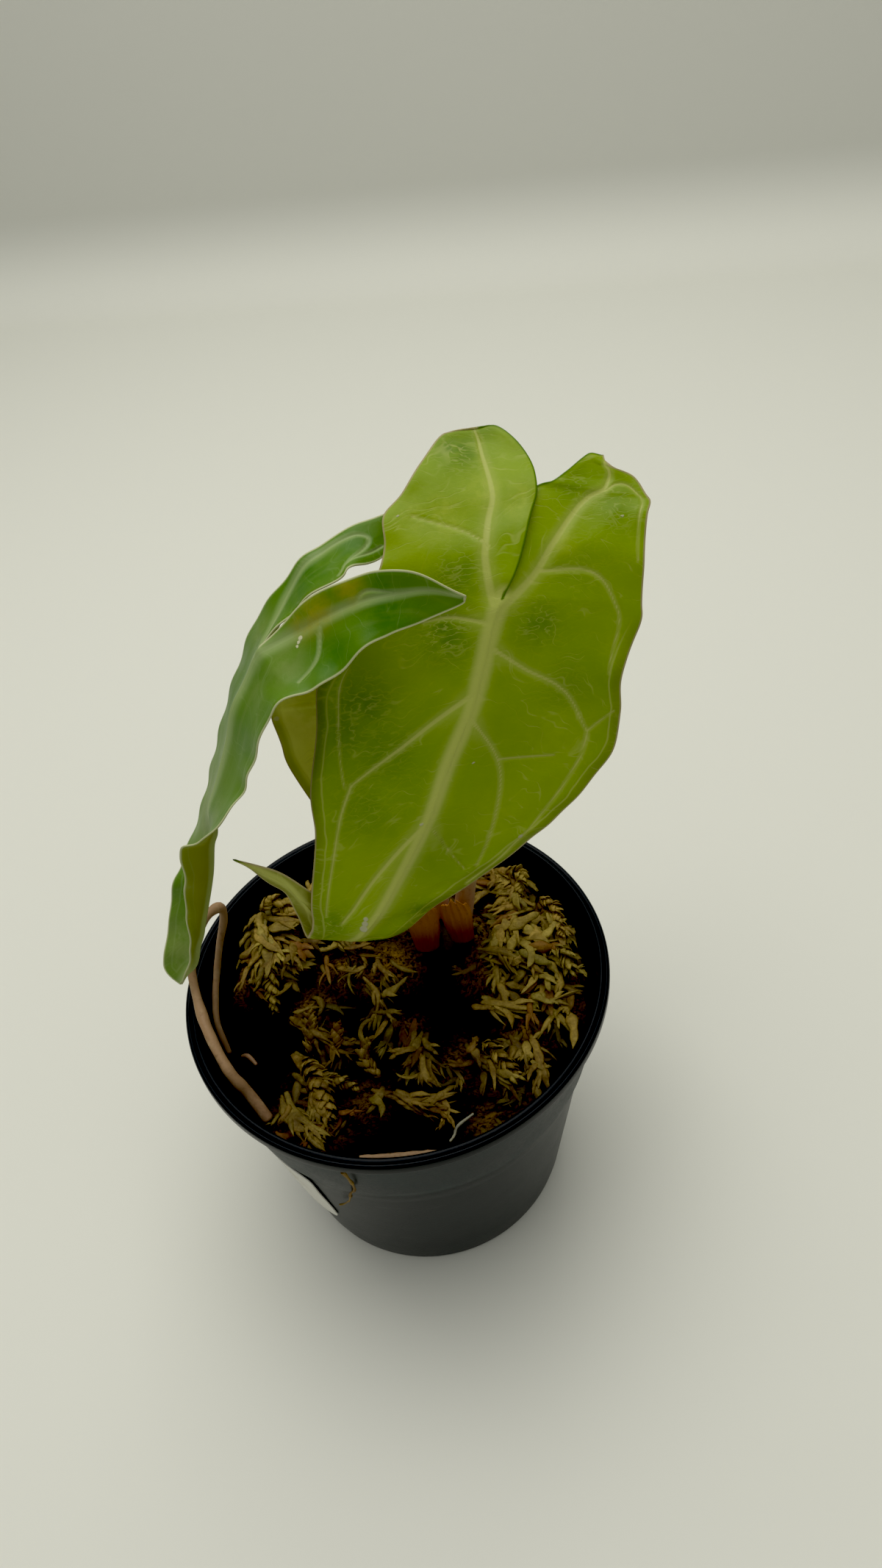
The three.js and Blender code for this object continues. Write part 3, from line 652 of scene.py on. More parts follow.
def leaf_material(name, look):
    """Leaf tissue: pale veins, fine side veins, mottled green with painted light, painted shade and
    painted highlights, rim line and light shining through.
    """
    shader = Shader(name)
    place = shader.place
    flat = shader.field("flat", "Vector")
    vein, edge, body = (shader.field(key) for key in ("vein", "edge", "body"))
    look = SimpleNamespace(**look)

    def marked(kind, strength):
        """A mark's field, broken up a little so that its border isn't a soft disc."""
        return shader.field(kind) * place.noise(420, 4, 0.6).ramp(0.3, 0.6, 0.55, 1.15) * strength

    green = place.noise(55, 3).ramp(0.35, 0.65).mix(look.green, look.light)
    green = (place.noise(26, 2).ramp(0.42, 0.72) * 0.35).mix(green, look.dark)
    # Pale and dark marks are partly the leaf's own mottling and partly painted light and painted shade.
    green = marked("pale", 0.8).mix(green, look.pale)
    green = marked("dark", 0.85).mix(green, look.dark)
    # Painted highlight: the highlight marks take a pale colour, broken into small flecks.
    highlight_breakup = place.noise(700, 3, 0.7).ramp(0.38, 0.62, 0.45, 1.0)
    green = (marked("shine", 0.75) * highlight_breakup).mix(green, look.shine)
    streaks = flat.stretched(0.05, 0.55, 1).noise(1.0, 3)
    green = streaks.ramp(0.5, 0.75, 0.0, look.streak).mix(green, look.pale)
    # Pale lines keep to the body's margin, with a strip between them and the rim.
    sway = flat.noise(0.12, 2).linear(1.6, -0.8)
    line = abs(edge + sway - 1.9).fade(0.05, 0.3) * body
    strip = edge.fade(0.9, 2.6) * body
    green = (strip * look.strip).mix(green, look.margin)
    fibres = contour_lines(flat.stretched(1.0, 0.45, 1), 0.9, 0.045)
    fibres = fibres * shader.field("dark").linear(look.fibre, look.net)
    thin = (side_lines(flat) * look.fine).larger(fibres).larger(line * look.line)
    colour = thin.mix(green, look.vein)
    soft = vein.fade(0.5, 3.2) * shader.field("reach").fade(0.4, 3.4) * look.halo
    core = vein.fade(0.3, 1.15) * look.vein_share
    colour = soft.larger(core).mix(colour, look.vein)
    colour = marked("rust", 0.75).mix(colour, look.rust)
    # On the young leaves the inner edges take the dark green: painted shadow in the crease where the
    # lobes meet.
    seam = shader.field("outer").mix(look.seam, look.rim)
    colour = edge.fade(0.1, 0.4).mix(colour, seam)
    spot = shader.field("spot").ramp(0.3, 0.55)
    colour = spot.mix(colour, look.spot)
    normal = thin.linear(-1.0, spot).bump(0.00012, 0.6)
    normal = place.noise(1800, 2).bump(0.00004, 0.5, normal)
    rough = place.noise(90, 3).ramp(0.3, 0.7, look.rough - 0.06, look.rough + 0.08)
    coat = {"Coat Weight": look.coat, "Coat Roughness": 0.3}
    surface = shader.surface(colour, rough, normal, look.specular, **coat)
    glow = shader.mix(1.0, colour, (1.0, 1.0, 0.5, 1), "MULTIPLY")
    return shader.finish(shader.shining_through(surface, glow, look.through))


# Each look also holds the colour of the painted highlight.
YOUNG_UPPER = dict(
    green=srgb(150, 178, 10), light=srgb(162, 188, 20), dark=srgb(106, 142, 2),
    # seam: on the young leaves, painted shadow in the crease where the lobes meet.
    seam=srgb(106, 142, 2), vein=srgb(214, 218, 126), margin=srgb(128, 140, 34),
    rim=srgb(196, 184, 136), pale=srgb(170, 194, 20), shine=srgb(186, 202, 60),
    rust=srgb(160, 130, 28), spot=srgb(206, 206, 168), fine=0.3, fibre=0.45, net=0.04, strip=0.5,
    line=0.4, streak=0.0, halo=0.3, vein_share=0.75, rough=0.4, specular=0.3, coat=0.06, through=0.36,
)
YOUNG_UNDER = dict(
    YOUNG_UPPER, green=srgb(140, 136, 52), light=srgb(152, 144, 66), dark=srgb(124, 120, 44),
    pale=srgb(158, 148, 84), shine=srgb(158, 148, 84), rough=0.6, coat=0.0,
)
# The rear leaf's upper side: nearly white greens, painted light for the light that shines through it from
# behind.
REAR_UPPER_PAINTED_LIGHT = dict(
    YOUNG_UPPER, green=srgb(250, 255, 150), light=srgb(252, 255, 165), dark=srgb(232, 245, 110),
    through=0.7,
)
OLD_UPPER = dict(
    YOUNG_UPPER, green=srgb(84, 124, 6), light=srgb(98, 134, 22), dark=srgb(62, 112, 0),
    pale=srgb(126, 146, 72), shine=srgb(126, 146, 72), vein=srgb(178, 194, 134),
    rust=srgb(152, 146, 34), margin=srgb(112, 138, 60), rim=srgb(196, 200, 152),
    seam=srgb(196, 200, 152), streak=0.28, halo=0.45, vein_share=0.6, fine=0.12, fibre=0.0, net=0.0,
    strip=0.2, line=0.12, coat=0.03, specular=0.25, through=0.12,
)
OLD_UNDER = dict(
    OLD_UPPER, green=srgb(152, 160, 50), light=srgb(160, 166, 60), dark=srgb(130, 140, 38),
    pale=srgb(150, 154, 60), rough=0.6, coat=0.0,
)


def leaves():
    """The three leaf blades."""
    young_under = leaf_material("young_leaf_under", YOUNG_UNDER)
    young = [leaf_material("young_leaf_upper", YOUNG_UPPER), young_under]
    old = [leaf_material("old_leaf_upper", OLD_UPPER), leaf_material("old_leaf_under", OLD_UNDER)]
    rear = [leaf_material("rear_leaf_upper_painted_light", REAR_UPPER_PAINTED_LIGHT), young_under]
    blade = Blade(FRONT_LEAF, FRONT_VEINS, FRONT_MARKS, (4.6, 1.6), cell=0.5, columns=62)
    leaf_piece("front_leaf", blade, 0.5, 0.7, FRONT_ROLLS, young)
    blade = Blade(LEFT_LEAF, LEFT_VEINS, LEFT_MARKS, (2.6, 1.2), cell=0.5, columns=54)
    leaf_piece("left_leaf", blade, 0.5, 0.6, [], old)
    blade = Blade(REAR_LEAF, REAR_VEINS, REAR_MARKS, (1.8, 0.8), cell=0.6, columns=34)
    leaf_piece("rear_leaf", blade, 0.45, 0.4, [], rear)


leaves()


# Small solids, many to a mesh
def frames_along(path, up):
    """Two unit normals for each point of a path, turned as little as possible from end to end."""
    tangents = unit(np.gradient(path, axis=0))
    first = np.empty_like(path)
    normal = np.asarray(up, float)
    for index, tangent in enumerate(tangents):
        normal = unit(normal - tangent * (normal @ tangent))
        first[index] = normal
    return first, np.cross(tangents, first)


def rings_along(path, heights, sides, up=(0.13, 0.21, 0.97), twist=0.0):
    """Rings of points round a path, from each ring's offsets along its two normals."""
    first, second = frames_along(path, up)
    angle = (twist * np.linspace(0, 1, len(path)))[:, None]
    upward = first * np.cos(angle) + second * np.sin(angle)
    sideways = second * np.cos(angle) - first * np.sin(angle)
    rings = path[:, None] + upward[:, None] * heights[..., None]
    return rings + sideways[:, None] * sides[..., None]


def round_rings(path, radii, count):
    angle = turns(count)
    return rings_along(path, radii[:, None] * np.cos(angle), radii[:, None] * np.sin(angle))


def ribbon_rings(path, widths, thickness, cup, up, twist=0.0, count=8):
    """Rings of a thin cupped ribbon, such as a moss strand or a leaflet."""
    angle = turns(count)
    half = widths[:, None] / 2
    heights = thickness * half * np.cos(angle) + cup * half * np.sin(angle) ** 2
    return rings_along(path, heights, half * np.sin(angle), up, twist)


class Heap:
    """Small closed solids gathered into one mesh. Each keeps its tone and hue for the material."""

    def __init__(self):
        self.points, self.faces = [], []
        self.fields = {"tone": [], "hue": [], "tip": []}
        self.count = 0

    def add(self, rings, tone=0.5, hue=0.5):
        """Closes a stack of rings into one solid."""
        steps, sides = rings.shape[:2]
        index = self.count + np.arange(steps * sides).reshape(steps, sides)
        self.faces += quads(closed(index)).tolist() + [index[0, ::-1].tolist(), index[-1].tolist()]
        self.points.append(rings.reshape(-1, 3))
        self.count += index.size
        tip = np.repeat(np.linspace(0, 1, steps), sides)
        for label, value in zip(self.fields, (tone, hue, tip)):
            self.fields[label].append(np.broadcast_to(value, index.size))

    def build(self, name, material, slot, *nodes):
        """Makes a piece of it. Moss also notes how far above the bed each point lies."""
        points = np.concatenate(self.points)
        fields = {label: np.concatenate(values) for label, values in self.fields.items()}
        if slot == "moss" and "depth" not in fields:
            fields["depth"] = points[:, 2] - moss_height(points[:, 0], points[:, 1])
        solid(name, points, self.faces, [material], nodes, fields)


def sheet(name, front, back, material, node):
    """A sheet between a front and a back grid of points, closed round its edge."""
    here = np.arange(front[..., 0].size).reshape(front.shape[:2])
    size = here.size
    faces = np.concatenate([quads(here), quads(here.T + size)]).tolist()
    loop = np.concatenate([here[0, :-1], here[:-1, -1], here[-1, :0:-1], here[:0:-1, 0]]).tolist()
    for first, second in zip(loop, loop[1:] + loop[:1]):
        faces.append([second, first, first + size, second + size])
    points = np.concatenate([front.reshape(-1, 3), back.reshape(-1, 3)])
    solid(name, points, faces, [material], [node])


def turned_faces(rings, segments, upward):
    """Faces of a turned body: rings of points between two ends that lie on the axis."""
    grid = closed(1 + np.arange(rings * segments).reshape(rings, segments))
    end = rings * segments + 1
    first, last = (grid[row, :: 1 if upward else -1].tolist() for row in (0, -1))
    faces = quads(grid if upward else grid.T).tolist()
    faces += [[0, after, here] for here, after in zip(first, first[1:])]
    return faces + [[here, after, end] for here, after in zip(last, last[1:])]


# Pot
def pot_outer_radius(height):
    height = np.asarray(height, float)
    rise = (height - COLLAR_BOTTOM) / (LIP_BOTTOM - COLLAR_BOTTOM)
    collar = COLLAR_RADIUS + rise * (RIM_RADIUS - LIP_DEPTH - COLLAR_RADIUS)
    body_top = COLLAR_RADIUS - COLLAR_STEP
    body = BASE_RADIUS + height / COLLAR_BOTTOM * (body_top - BASE_RADIUS)
    return np.where(height > COLLAR_BOTTOM, collar, body)


def pot_inner_radius(height):
    return pot_outer_radius(height) - POT_WALL


def pot_profile():
    """Radius and height, up the outside and down the inside."""
    def arc(radius, height, bend, start, end, steps):
        angle = np.radians(np.linspace(start, end, steps + 1))
        return np.column_stack([radius + bend * np.cos(angle), height + bend * np.sin(angle)])

    def wall(reach, low, high, steps):
        heights = np.linspace(low, high, steps)
        return np.column_stack([reach(heights), heights])

    bead, edge, step, foot, recess = 0.7, 0.4, 0.3, 1.0, 0.5
    return np.concatenate([
        [(0, recess), (BASE_RADIUS - 6, recess), (BASE_RADIUS - 5, 0)],
        arc(BASE_RADIUS - foot, foot, foot, -90, 0, 5),
        wall(pot_outer_radius, 3, UNDER_STEP, 9),
        arc(COLLAR_RADIUS - step, COLLAR_BOTTOM + step, step, -60, 0, 3),
        wall(pot_outer_radius, COLLAR_BOTTOM + 1, LIP_BOTTOM - 0.2, 5),
        arc(RIM_RADIUS - edge, LIP_BOTTOM + edge, edge, -90, 0, 4),
        arc(RIM_RADIUS - bead, POT_HEIGHT - bead, bead, 0, 90, 6),
        [(RIM_RADIUS - 1.1, POT_HEIGHT - 0.25), (RIM_RADIUS - 1.5, POT_HEIGHT - 0.02)],
        arc(pot_inner_radius(POT_HEIGHT) + edge, POT_HEIGHT - edge, edge, 90, 180, 4),
        wall(pot_inner_radius, POT_HEIGHT - 1, COLLAR_BOTTOM + 0.1, 6),
        wall(pot_inner_radius, UNDER_STEP, POT_FLOOR, 6),
        [(0, POT_FLOOR)],
    ])


def plastic_material():
    """Blue-black moulded plastic under a film of dust. There is none on the lip or on a band just under
    it, which is painted shadow of the lip, and less on the body below the collar, so the lighter collar
    is partly painted light.
    """
    shader = Shader("pot_plastic")
    place = shader.place
    height = place.part("Z")
    cloud = place.noise(60, 4, 0.6).ramp(0.3, 0.75)
    grain = place.noise(1400, 3, 0.7).ramp(0.42, 0.72)
    # Painted shadow: the dust stops about a millimetre below the lip, leaving a dark band under it.
    below_lip = height.fade((LIP_BOTTOM - 1.6) * MM, (LIP_BOTTOM - 0.6) * MM)
    # Painted light: the collar carries more dust than the body below, so it looks lighter.
    collar = height.ramp((COLLAR_BOTTOM - 0.9) * MM, (COLLAR_BOTTOM + 0.1) * MM, 0.28, 1.0)
    dust_and_painted_light = grain.linear(0.35, cloud * 0.5) * below_lip * collar
    scuff = place.stretched(60, 60, 900).noise(1.0, 4, 0.65).ramp(0.62, 0.74, 0.0, 0.3)
    colour = dust_and_painted_light.mix(srgb(10, 16, 22), srgb(70, 78, 78))
    colour = (scuff * below_lip).mix(colour, srgb(96, 100, 96))
    normal = place.noise(45, 2).bump(0.0006, 0.25)
    normal = place.noise(2600, 2).bump(0.00003, 0.6, normal)
    return shader.finish(shader.surface(colour, dust_and_painted_light.linear(0.35, 0.28), normal, 0.14))


def drain_cutters():
    """One object that holds a plug for each drain hole."""
    mesh = bpy.data.meshes.new("drain_cutters")
    build = bmesh.new()
    size = {"radius1": DRAIN_RADIUS * MM, "radius2": DRAIN_RADIUS * MM, "depth": 4 * POT_FLOOR * MM}
    for index in range(DRAIN_COUNT):
        place = polar(DRAIN_CIRCLE * MM, 2 * math.pi * (index + 0.5) / DRAIN_COUNT, 0)
        matrix = Matrix.Translation(place.tolist())
        bmesh.ops.create_cone(build, cap_ends=True, segments=40, matrix=matrix, **size)
    build.to_mesh(mesh)
    build.free()
    return bpy.data.objects.new("drain_cutters", mesh)


def pot():
    profile = pot_profile()
    rings = polar(profile[1:-1, :1], turns(192), profile[1:-1, 1:])
    ends = polar(np.zeros(2), 0, profile[[0, -1], 1])
    points = np.concatenate([ends[:1], rings.reshape(-1, 3), ends[1:]])
    faces = turned_faces(*rings.shape[:2], upward=True)
    piece = solid("nursery_pot", points, faces, [plastic_material()], ["pot"])
    cutters = drain_cutters()
    bpy.context.scene.collection.objects.link(cutters)
    cut = piece.modifiers.new("drains", "BOOLEAN")
    cut.operation = "DIFFERENCE"
    cut.solver = "EXACT"
    cut.object = cutters
    bpy.context.view_layer.update()
    drained = piece.evaluated_get(bpy.context.evaluated_depsgraph_get())
    mesh = bpy.data.meshes.new_from_object(drained)
    piece.modifiers.clear()
    piece.data = mesh
    bpy.data.objects.remove(cutters)
    mesh.set_sharp_from_angle(angle=math.radians(40))


pot()

# Label: blank, on the left side of the pot, in millimetres and degrees
LABEL_BOTTOM = 19.0
LABEL_HEIGHT = 26.0
LABEL_START = -186.0
LABEL_END = -127.0


def label():
    """A blank sheet with rounded corners that bulges a little."""
    rows, columns = 44, 100
    thickness, gap, corner = 0.3, 0.3, 3.0
    row, column = np.indices((rows, columns))
    along = column / (columns - 1)
    turn = LABEL_END - LABEL_START
    length = math.radians(turn) * pot_outer_radius(LABEL_BOTTOM + LABEL_HEIGHT / 2)
    inset = np.maximum(0, corner - np.minimum(along, 1 - along) * length)
    cut = corner - np.sqrt(np.maximum(0, corner**2 - inset**2))
    height = LABEL_BOTTOM + cut + (LABEL_HEIGHT - 2 * cut) * row / (rows - 1)
    lift = 0.12 * np.sin(9 * along + 2) * np.sin(3 * row / rows + 1) ** 2
    angle = np.radians(LABEL_START + turn * along)
    radius = pot_outer_radius(height) + gap + lift
    shader = Shader("label_paper")
    stain = shader.place.noise(90, 4).ramp(0.45, 0.8, 0.0, 0.6)
    fibre = shader.place.noise(2200, 4, 0.7)
    colour = stain.mix(srgb(216, 214, 204), srgb(186, 180, 160))
    rough = fibre.ramp(0.3, 0.7, 0.5, 0.65)
    paper = shader.finish(shader.surface(colour, rough, fibre.bump(0.00004, 0.5)))
    outer = polar(radius + thickness, angle, height)
    sheet("side_label", outer, polar(radius, angle, height), paper, "pot_label")


label()


# Stems, roots and bits
def tissue_material(name, colours, heights, scale, rough, bump, bloom=0.35):
    """Colours blended up the plant from one height to the next, with streaks and fine wrinkles."""
    shader = Shader(name)
    place = shader.place
    streak = place.stretched(scale, scale, scale * 0.12).noise(1.0, 4, 0.6)
    height = streak.linear(0.006, place.part("Z"))
    colour = colours[0]
    for (low, high), following in zip(heights, colours[1:]):
        colour = height.ramp(low, high).mix(colour, following)
    fleck = place.noise(scale * 1.6, 3).ramp(0.55, 0.75, 0.0, 0.45)
    colour = fleck.mix(colour, shader.mix(1.0, colour, (0.42, 0.36, 0.3, 1), "MULTIPLY"))
    colour = streak.ramp(0.5, 0.8, 0.0, bloom).mix(colour, srgb(208, 190, 150))
    normal = place.noise(scale * 5, 3).bump(bump * 0.4, 0.7, streak.bump(bump, 0.8))
    rough = streak.ramp(0.3, 0.7, rough - 0.1, rough + 0.1)
    return shader.finish(shader.surface(colour, rough, normal))


LEAF_STEMS = {
    "front_leaf_stem": [
        (14.6, 15, 61.4), (16.5, 16, 68), (21, 15, 95), (25.5, 11, 125), (28.2, 6.5, 145),
        (29.3, 2, 154.8),
    ],
    "left_leaf_stem": [
        (8, 14, 61.3), (6, 13.5, 70), (3, 9.5, 97), (1.5, 8.5, 130), (-1.5, 8.5, 145.5),
        (-5.5, 7.5, 150), (-9.2, 5.6, 149.8),
    ],
    "rear_leaf_stem": [
        (11, 19.8, 61), (10.5, 23, 75), (9.5, 28, 100), (8, 29, 120), (6.5, 25.5, 130.5),
        (5.8, 22.5, 131.8),
    ],
}


def leaf_stems():
    colours = [srgb(196, 150, 122), srgb(186, 158, 112), srgb(138, 150, 62)]
    skin = tissue_material("leaf_stem", colours, [(0.066, 0.085), (0.09, 0.13)], 700, 0.45, 0.00012)
    foot_radius, top_radius = 2.3, 1.2
    for name, route in LEAF_STEMS.items():
        path = even_points(route, 0.8)
        share = np.linspace(0, 1, len(path))
        radii = foot_radius + (top_radius - foot_radius) * share + 0.05 * np.sin(share * 37)
        angle = turns(24)
        rings = radii[:, None] * (1 - 0.16 * bell((angle - np.pi) / 0.45))
        heap = Heap()
        heap.add(rings_along(path, rings * np.cos(angle), rings * np.sin(angle), (0, 1, 0)))
        heap.build(name.replace("_stem", "_petiole"), skin, "leaf_stem", name)


leaf_stems()

# Dry sheaths: side, foot, lean up to the top, radius, and half the opening in degrees.
SHEATHS = [
    ("left", (7, 13, 60.9), (0.2, -1.6, 19), 3.7, 62),
    ("right", (15.2, 14, 60.9), (-1.4, -1.8, 18), 3.6, 60),
]


def dry_sheath(side, foot, lean, radius, opening, material, rng):
    """A strip rolled part of the way round a stem's foot, with a torn top and lengthwise folds."""
    rows, columns = 46, 40
    thickness = 0.35
    tear = rng.uniform(-1, 1, 5)
    row, column = np.indices((rows, columns))
    turn = 2 * column / (columns - 1) - 1
    torn = sum(tear[k] * np.sin((k + 2) * 2.1 * turn + k) for k in range(5))
    share = row / (rows - 1) * (1 - 0.16 * turn**2 - 0.03 * torn)
    half = np.radians(opening * (0.7 + 0.6 * share - 0.9 * share**3))
    fold = 0.16 * np.sin(17 * turn + 2 * share) + 0.08 * np.sin(31 * turn - 3 * share)
    wide = radius + 1.1 * share + fold * share + 0.5 * share**4 * turn**2
    middle = np.array(foot) + np.array(lean) * share[..., None]
    angle = half * turn - np.pi / 2
    front, back = (middle + polar(reach, angle, 0) for reach in (wide, wide - thickness))
    sheet(f"{side}_sheath", front, back, material, f"{side}_dry_sheath")


def sheaths():
    colours = [srgb(84, 36, 6), srgb(142, 82, 12), srgb(196, 132, 44)]
    heights = [(0.061, 0.066), (0.067, 0.076)]
    skin = tissue_material("dry_sheath", colours, heights, 800, 0.5, 0.0002, 0.1)
    rng = np.random.default_rng(5)
    for side, foot, lean, radius, opening in SHEATHS:
        dry_sheath(side, foot, lean, radius, opening, skin, rng)


sheaths()


def stem_base():
    """The corky foot that the stems rise from, mostly sunk in the moss, coloured nearly black by painted
    shade.
    """
    centre_x, centre_y, radius = 11.5, 15.5, 6.4
    bottom, top = 42.0, 60.5
    outline = [
        (0.7 * radius, 0, bottom), (radius, 0, bottom + 4), (radius, 0, top - 2.5),
        (radius - 1.6, 0, top - 0.3), (0.3 * radius, 0, top),
    ]
    profile = even_points(outline, 0.5)
    angle = turns(48)
    reach, height = profile[:, :1], profile[:, 2:]
    bark = noise_at(3 * np.cos(angle), 3 * np.sin(angle), 0.8 * height)
    wide = (reach - 0.3) * (1 + 0.07 * bark)
    heap = Heap()
    heap.add(polar(wide, angle, height - 0.15 + 0.15 * bark) + (centre_x, centre_y, 0))
    # Painted shade: dark brown close to black, for the shadowed hollow between the stems.
    colours = [srgb(26, 17, 11), srgb(34, 20, 12)]
    painted_dark_foot = tissue_material("stem_base", colours, [(0.056, 0.061)], 500, 0.75, 0.0004, 0.03)
    heap.build("foot_in_painted_shade", painted_dark_foot, "stem_base", "stem_base")


stem_base()

RUNNER = [
    (-29.5, -24, 57.2), (-32.5, -20.5, 62), (-35.5, -18, 68), (-39.2, -10.2, 73), (-41.6, -1.2, 76),
    (-41.4, 2.6, 79), (-38.8, 5.2, 84), (-36.2, 8, 86), (-34.2, 9.6, 85.6), (-34.3, 9.7, 82),
    (-36.6, 8.3, 76), (-38.6, 5.6, 70), (-39.7, 1.5, 66), (-40, -2.5, 62), (-38.8, -6, 56),
]


def moss_height(x, y):
    """The moss bed's level, with its hills and hollows."""
    height = MOSS_LEVEL
    for centre_x, centre_y, radius, rise in MOSS_FORMS:
        square = ((x - centre_x) ** 2 + (y - centre_y) ** 2) / radius**2
        height = height + rise * np.exp(-square)
    return height


def on_moss(route, radius):
    gap = 0.35
    return [(x, y, moss_height(x, y) + 0.8 * radius + gap + lift) for x, y, lift in route]


def root(name, node, path, radii, material, slot, lumps, seed):
    """A root or twig: a tube with uneven thickness."""
    rng = np.random.default_rng(seed)
    share = np.linspace(0, 1, len(path))
    swelling = np.zeros(len(path))
    for _ in range(lumps):
        swelling += rng.uniform(0.06, 0.2) * bell((share - rng.uniform()) / 0.02)
    swelling += 0.05 * np.sin(share * rng.uniform(30, 50))
    heap = Heap()
    heap.add(round_rings(path, radii * (1 + swelling), 14))
    heap.build(name, material, slot, node)


def roots():
    colours = [srgb(140, 108, 78), srgb(158, 126, 90)]
    skin = tissue_material("root_skin", colours, [(0.058, 0.07)], 520, 0.6, 0.0002)
    pale = tissue_material("pale_root", [srgb(140, 138, 118)], [], 700, 0.55, 0.0001)
    bark = tissue_material("twig", [srgb(150, 122, 92)], [], 600, 0.75, 0.0003)
    path = even_points(RUNNER, 0.5)
    start_radius, end_radius = 1.15, 0.6
    radii = start_radius + (end_radius - start_radius) * np.linspace(0, 1, len(path))
    root("creeping_runner", "runner", path, radii, skin, "root", lumps=14, seed=3)
    small = [
        ("small_rootlet", "runner_rootlet", 0.5, skin, "root",
         [(-36.2, -6.5, 0), (-34.4, -8, 1.5), (-32.6, -10.2, 0.5)]),
        ("thin_pale_root", "pale_root", 0.32, pale, "pale_root",
         [(12, -28.8, 0.2), (8.5, -30.4, 0.3), (7.6, -32, 0.4), (6.6, -33.4, 1.2)]),
        ("broken_twig", "fallen_twig", 0.7, bark, "twig",
         [(-11.3, -35.2, 0.4), (-6, -35.4, 0.3), (-1, -34.9, 0.35), (7, -35.6, 0.5)]),
    ]
    for seed, (name, node, radius, material, slot, route) in enumerate(small):
        path = even_points(on_moss(route, radius), 0.25)
        share = np.linspace(0, 1, len(path))
        radii = radius * (0.45 + 0.55 * np.sin(np.pi * (0.12 + 0.76 * share)))
        root(name, node, path, radii, material, slot, lumps=4, seed=seed)


roots()


# Moss
def moss_material():
    """Damp sphagnum: ochre to olive, paler at the tips, and with painted shade nearly black low down."""
    shader = Shader("moss")
    place = shader.place
    tone, hue, tip, depth = (shader.field(key) for key in ("tone", "hue", "tip", "depth"))
    patch = place.noise(300, 4, 0.6).ramp(0.32, 0.68)
    dark = hue.mix(srgb(88, 58, 16), srgb(78, 66, 20))
    light = hue.mix(srgb(210, 176, 86), srgb(192, 176, 86))
    colour = patch.linear(0.36, tone.linear(0.8, -0.12)).mix(dark, light)
    colour = hue.ramp(0.02, 0.14, 0.6, 0.0).mix(colour, srgb(120, 62, 22))
    paleness = tip.ramp(0.6, 1.0, 0.0, 0.4) * tone
    colour = paleness.mix(colour, srgb(190, 174, 96))
    # Painted shade: strands turn nearly black where they lie close to the bed.
    colour = (depth.fade(-0.5, 3.2) * 0.8).mix(colour, srgb(30, 22, 6))
    cells = place.noise(1500, 4, 0.7).ramp(0.35, 0.65, 0.3, 0.0)
    colour = cells.mix(colour, srgb(40, 28, 8))
    wrinkle = place.noise(900, 4, 0.65)
    normal = place.noise(3200, 2).bump(0.00012, 0.7, wrinkle.bump(0.0004, 0.9))
    surface = shader.surface(colour, wrinkle.ramp(0.3, 0.7, 0.5, 0.75), normal, 0.35)
    return shader.finish(shader.shining_through(surface, colour, 0.15))


def soil_material():
    """Moss between the strands: matted ochre-brown where strands lie, elsewhere dark brown made nearly
    black by painted shade.
    """
    shader = Shader("moss_bed_painted_shade")
    fibre = shader.place.stretched(700, 1100, 700).noise(1.0, 5, 0.7, 1.5)
    # Painted shade: the bare bed is nearly black, for the shadow in the hollows between strands.
    colour = fibre.ramp(0.5, 0.75).mix(srgb(14, 11, 6), srgb(46, 34, 14))
    fringe = fibre.ramp(0.36, 0.58) * shader.field("mat")
    colour = fringe.mix(colour, srgb(198, 154, 66))
    rough = fibre.ramp(0.4, 0.7, 0.35, 0.8)
    return shader.finish(shader.surface(colour, rough, fibre.bump(0.001, 1.0), 0.3))


def painted_light(x, y):
    """Painted light on the moss, from 0 at the front, which the front leaf shades, to 1 at the back and
    right: brown and dark at the front, bright at the back.
    """
    return smooth(y + 0.6 * np.maximum(x, 0), -10, 15)


def matted(x, y):
    """How thickly loose strands cover a place on the bed, from 0 to 1. The cover is thinner at the front
    as painted shade.
    """
    cover = 0.0
    for clump_x, clump_y, spread, *_ in MOSS_CLUMPS:
        square = ((x - clump_x) ** 2 + (y - clump_y) ** 2) / (spread + 1.5) ** 2
        cover = np.maximum(cover, np.exp(-square))
    return cover * (0.4 + 0.6 * painted_light(x, y))


def moss_bed():
    """The bed's lumpy top and the block of moss below it that fills the pot."""
    rings, segments = 90, 260
    top_gap, gap, above_step = 0.55, 0.35, 0.1
    angle = turns(segments)
    radius = (pot_inner_radius(MOSS_LEVEL) - top_gap) * np.arange(1, rings + 1)[:, None] / rings
    x, y = radius * np.cos(angle), radius * np.sin(angle)
    lump = noise_at(x * 0.35, y * 0.35, 0.7) + 0.5 * noise_at(x * 0.9, y * 0.9, 3.1)
    ridge = 1 - 2.5 * abs(noise_at(x * 0.9, y * 0.55, 9.0))
    ridge += 0.5 - 1.2 * abs(noise_at(x * 1.3, y * 2.1, 5.0))
    mat = matted(x, y)
    sunk, lump_height = 0.8, 0.9
    height = moss_height(x, y) - sunk + lump_height * lump + mat * np.maximum(ridge, -0.5)
    parts = [[(0, 0, moss_height(0, 0))], np.stack([x, y, height], axis=-1).reshape(-1, 3)]
    bottom = POT_FLOOR + gap
    heights = np.array([COLLAR_BOTTOM + gap, UNDER_STEP, bottom])
    at = np.array([COLLAR_BOTTOM + above_step, UNDER_STEP, bottom])
    walls = polar((pot_inner_radius(at) - gap)[:, None], angle, heights[:, None])
    points = np.concatenate([*parts, walls.reshape(-1, 3), [(0, 0, bottom)]])
    mats = np.zeros(len(points))
    mats[1:1 + mat.size] = (mat * np.clip(0.2 + 0.7 * ridge, 0, 1)).ravel()
    faces = turned_faces(rings + len(heights), segments, upward=False)
    solid("moss_body", points, faces, [soil_material()], ["moss_bed"], {"mat": mats})


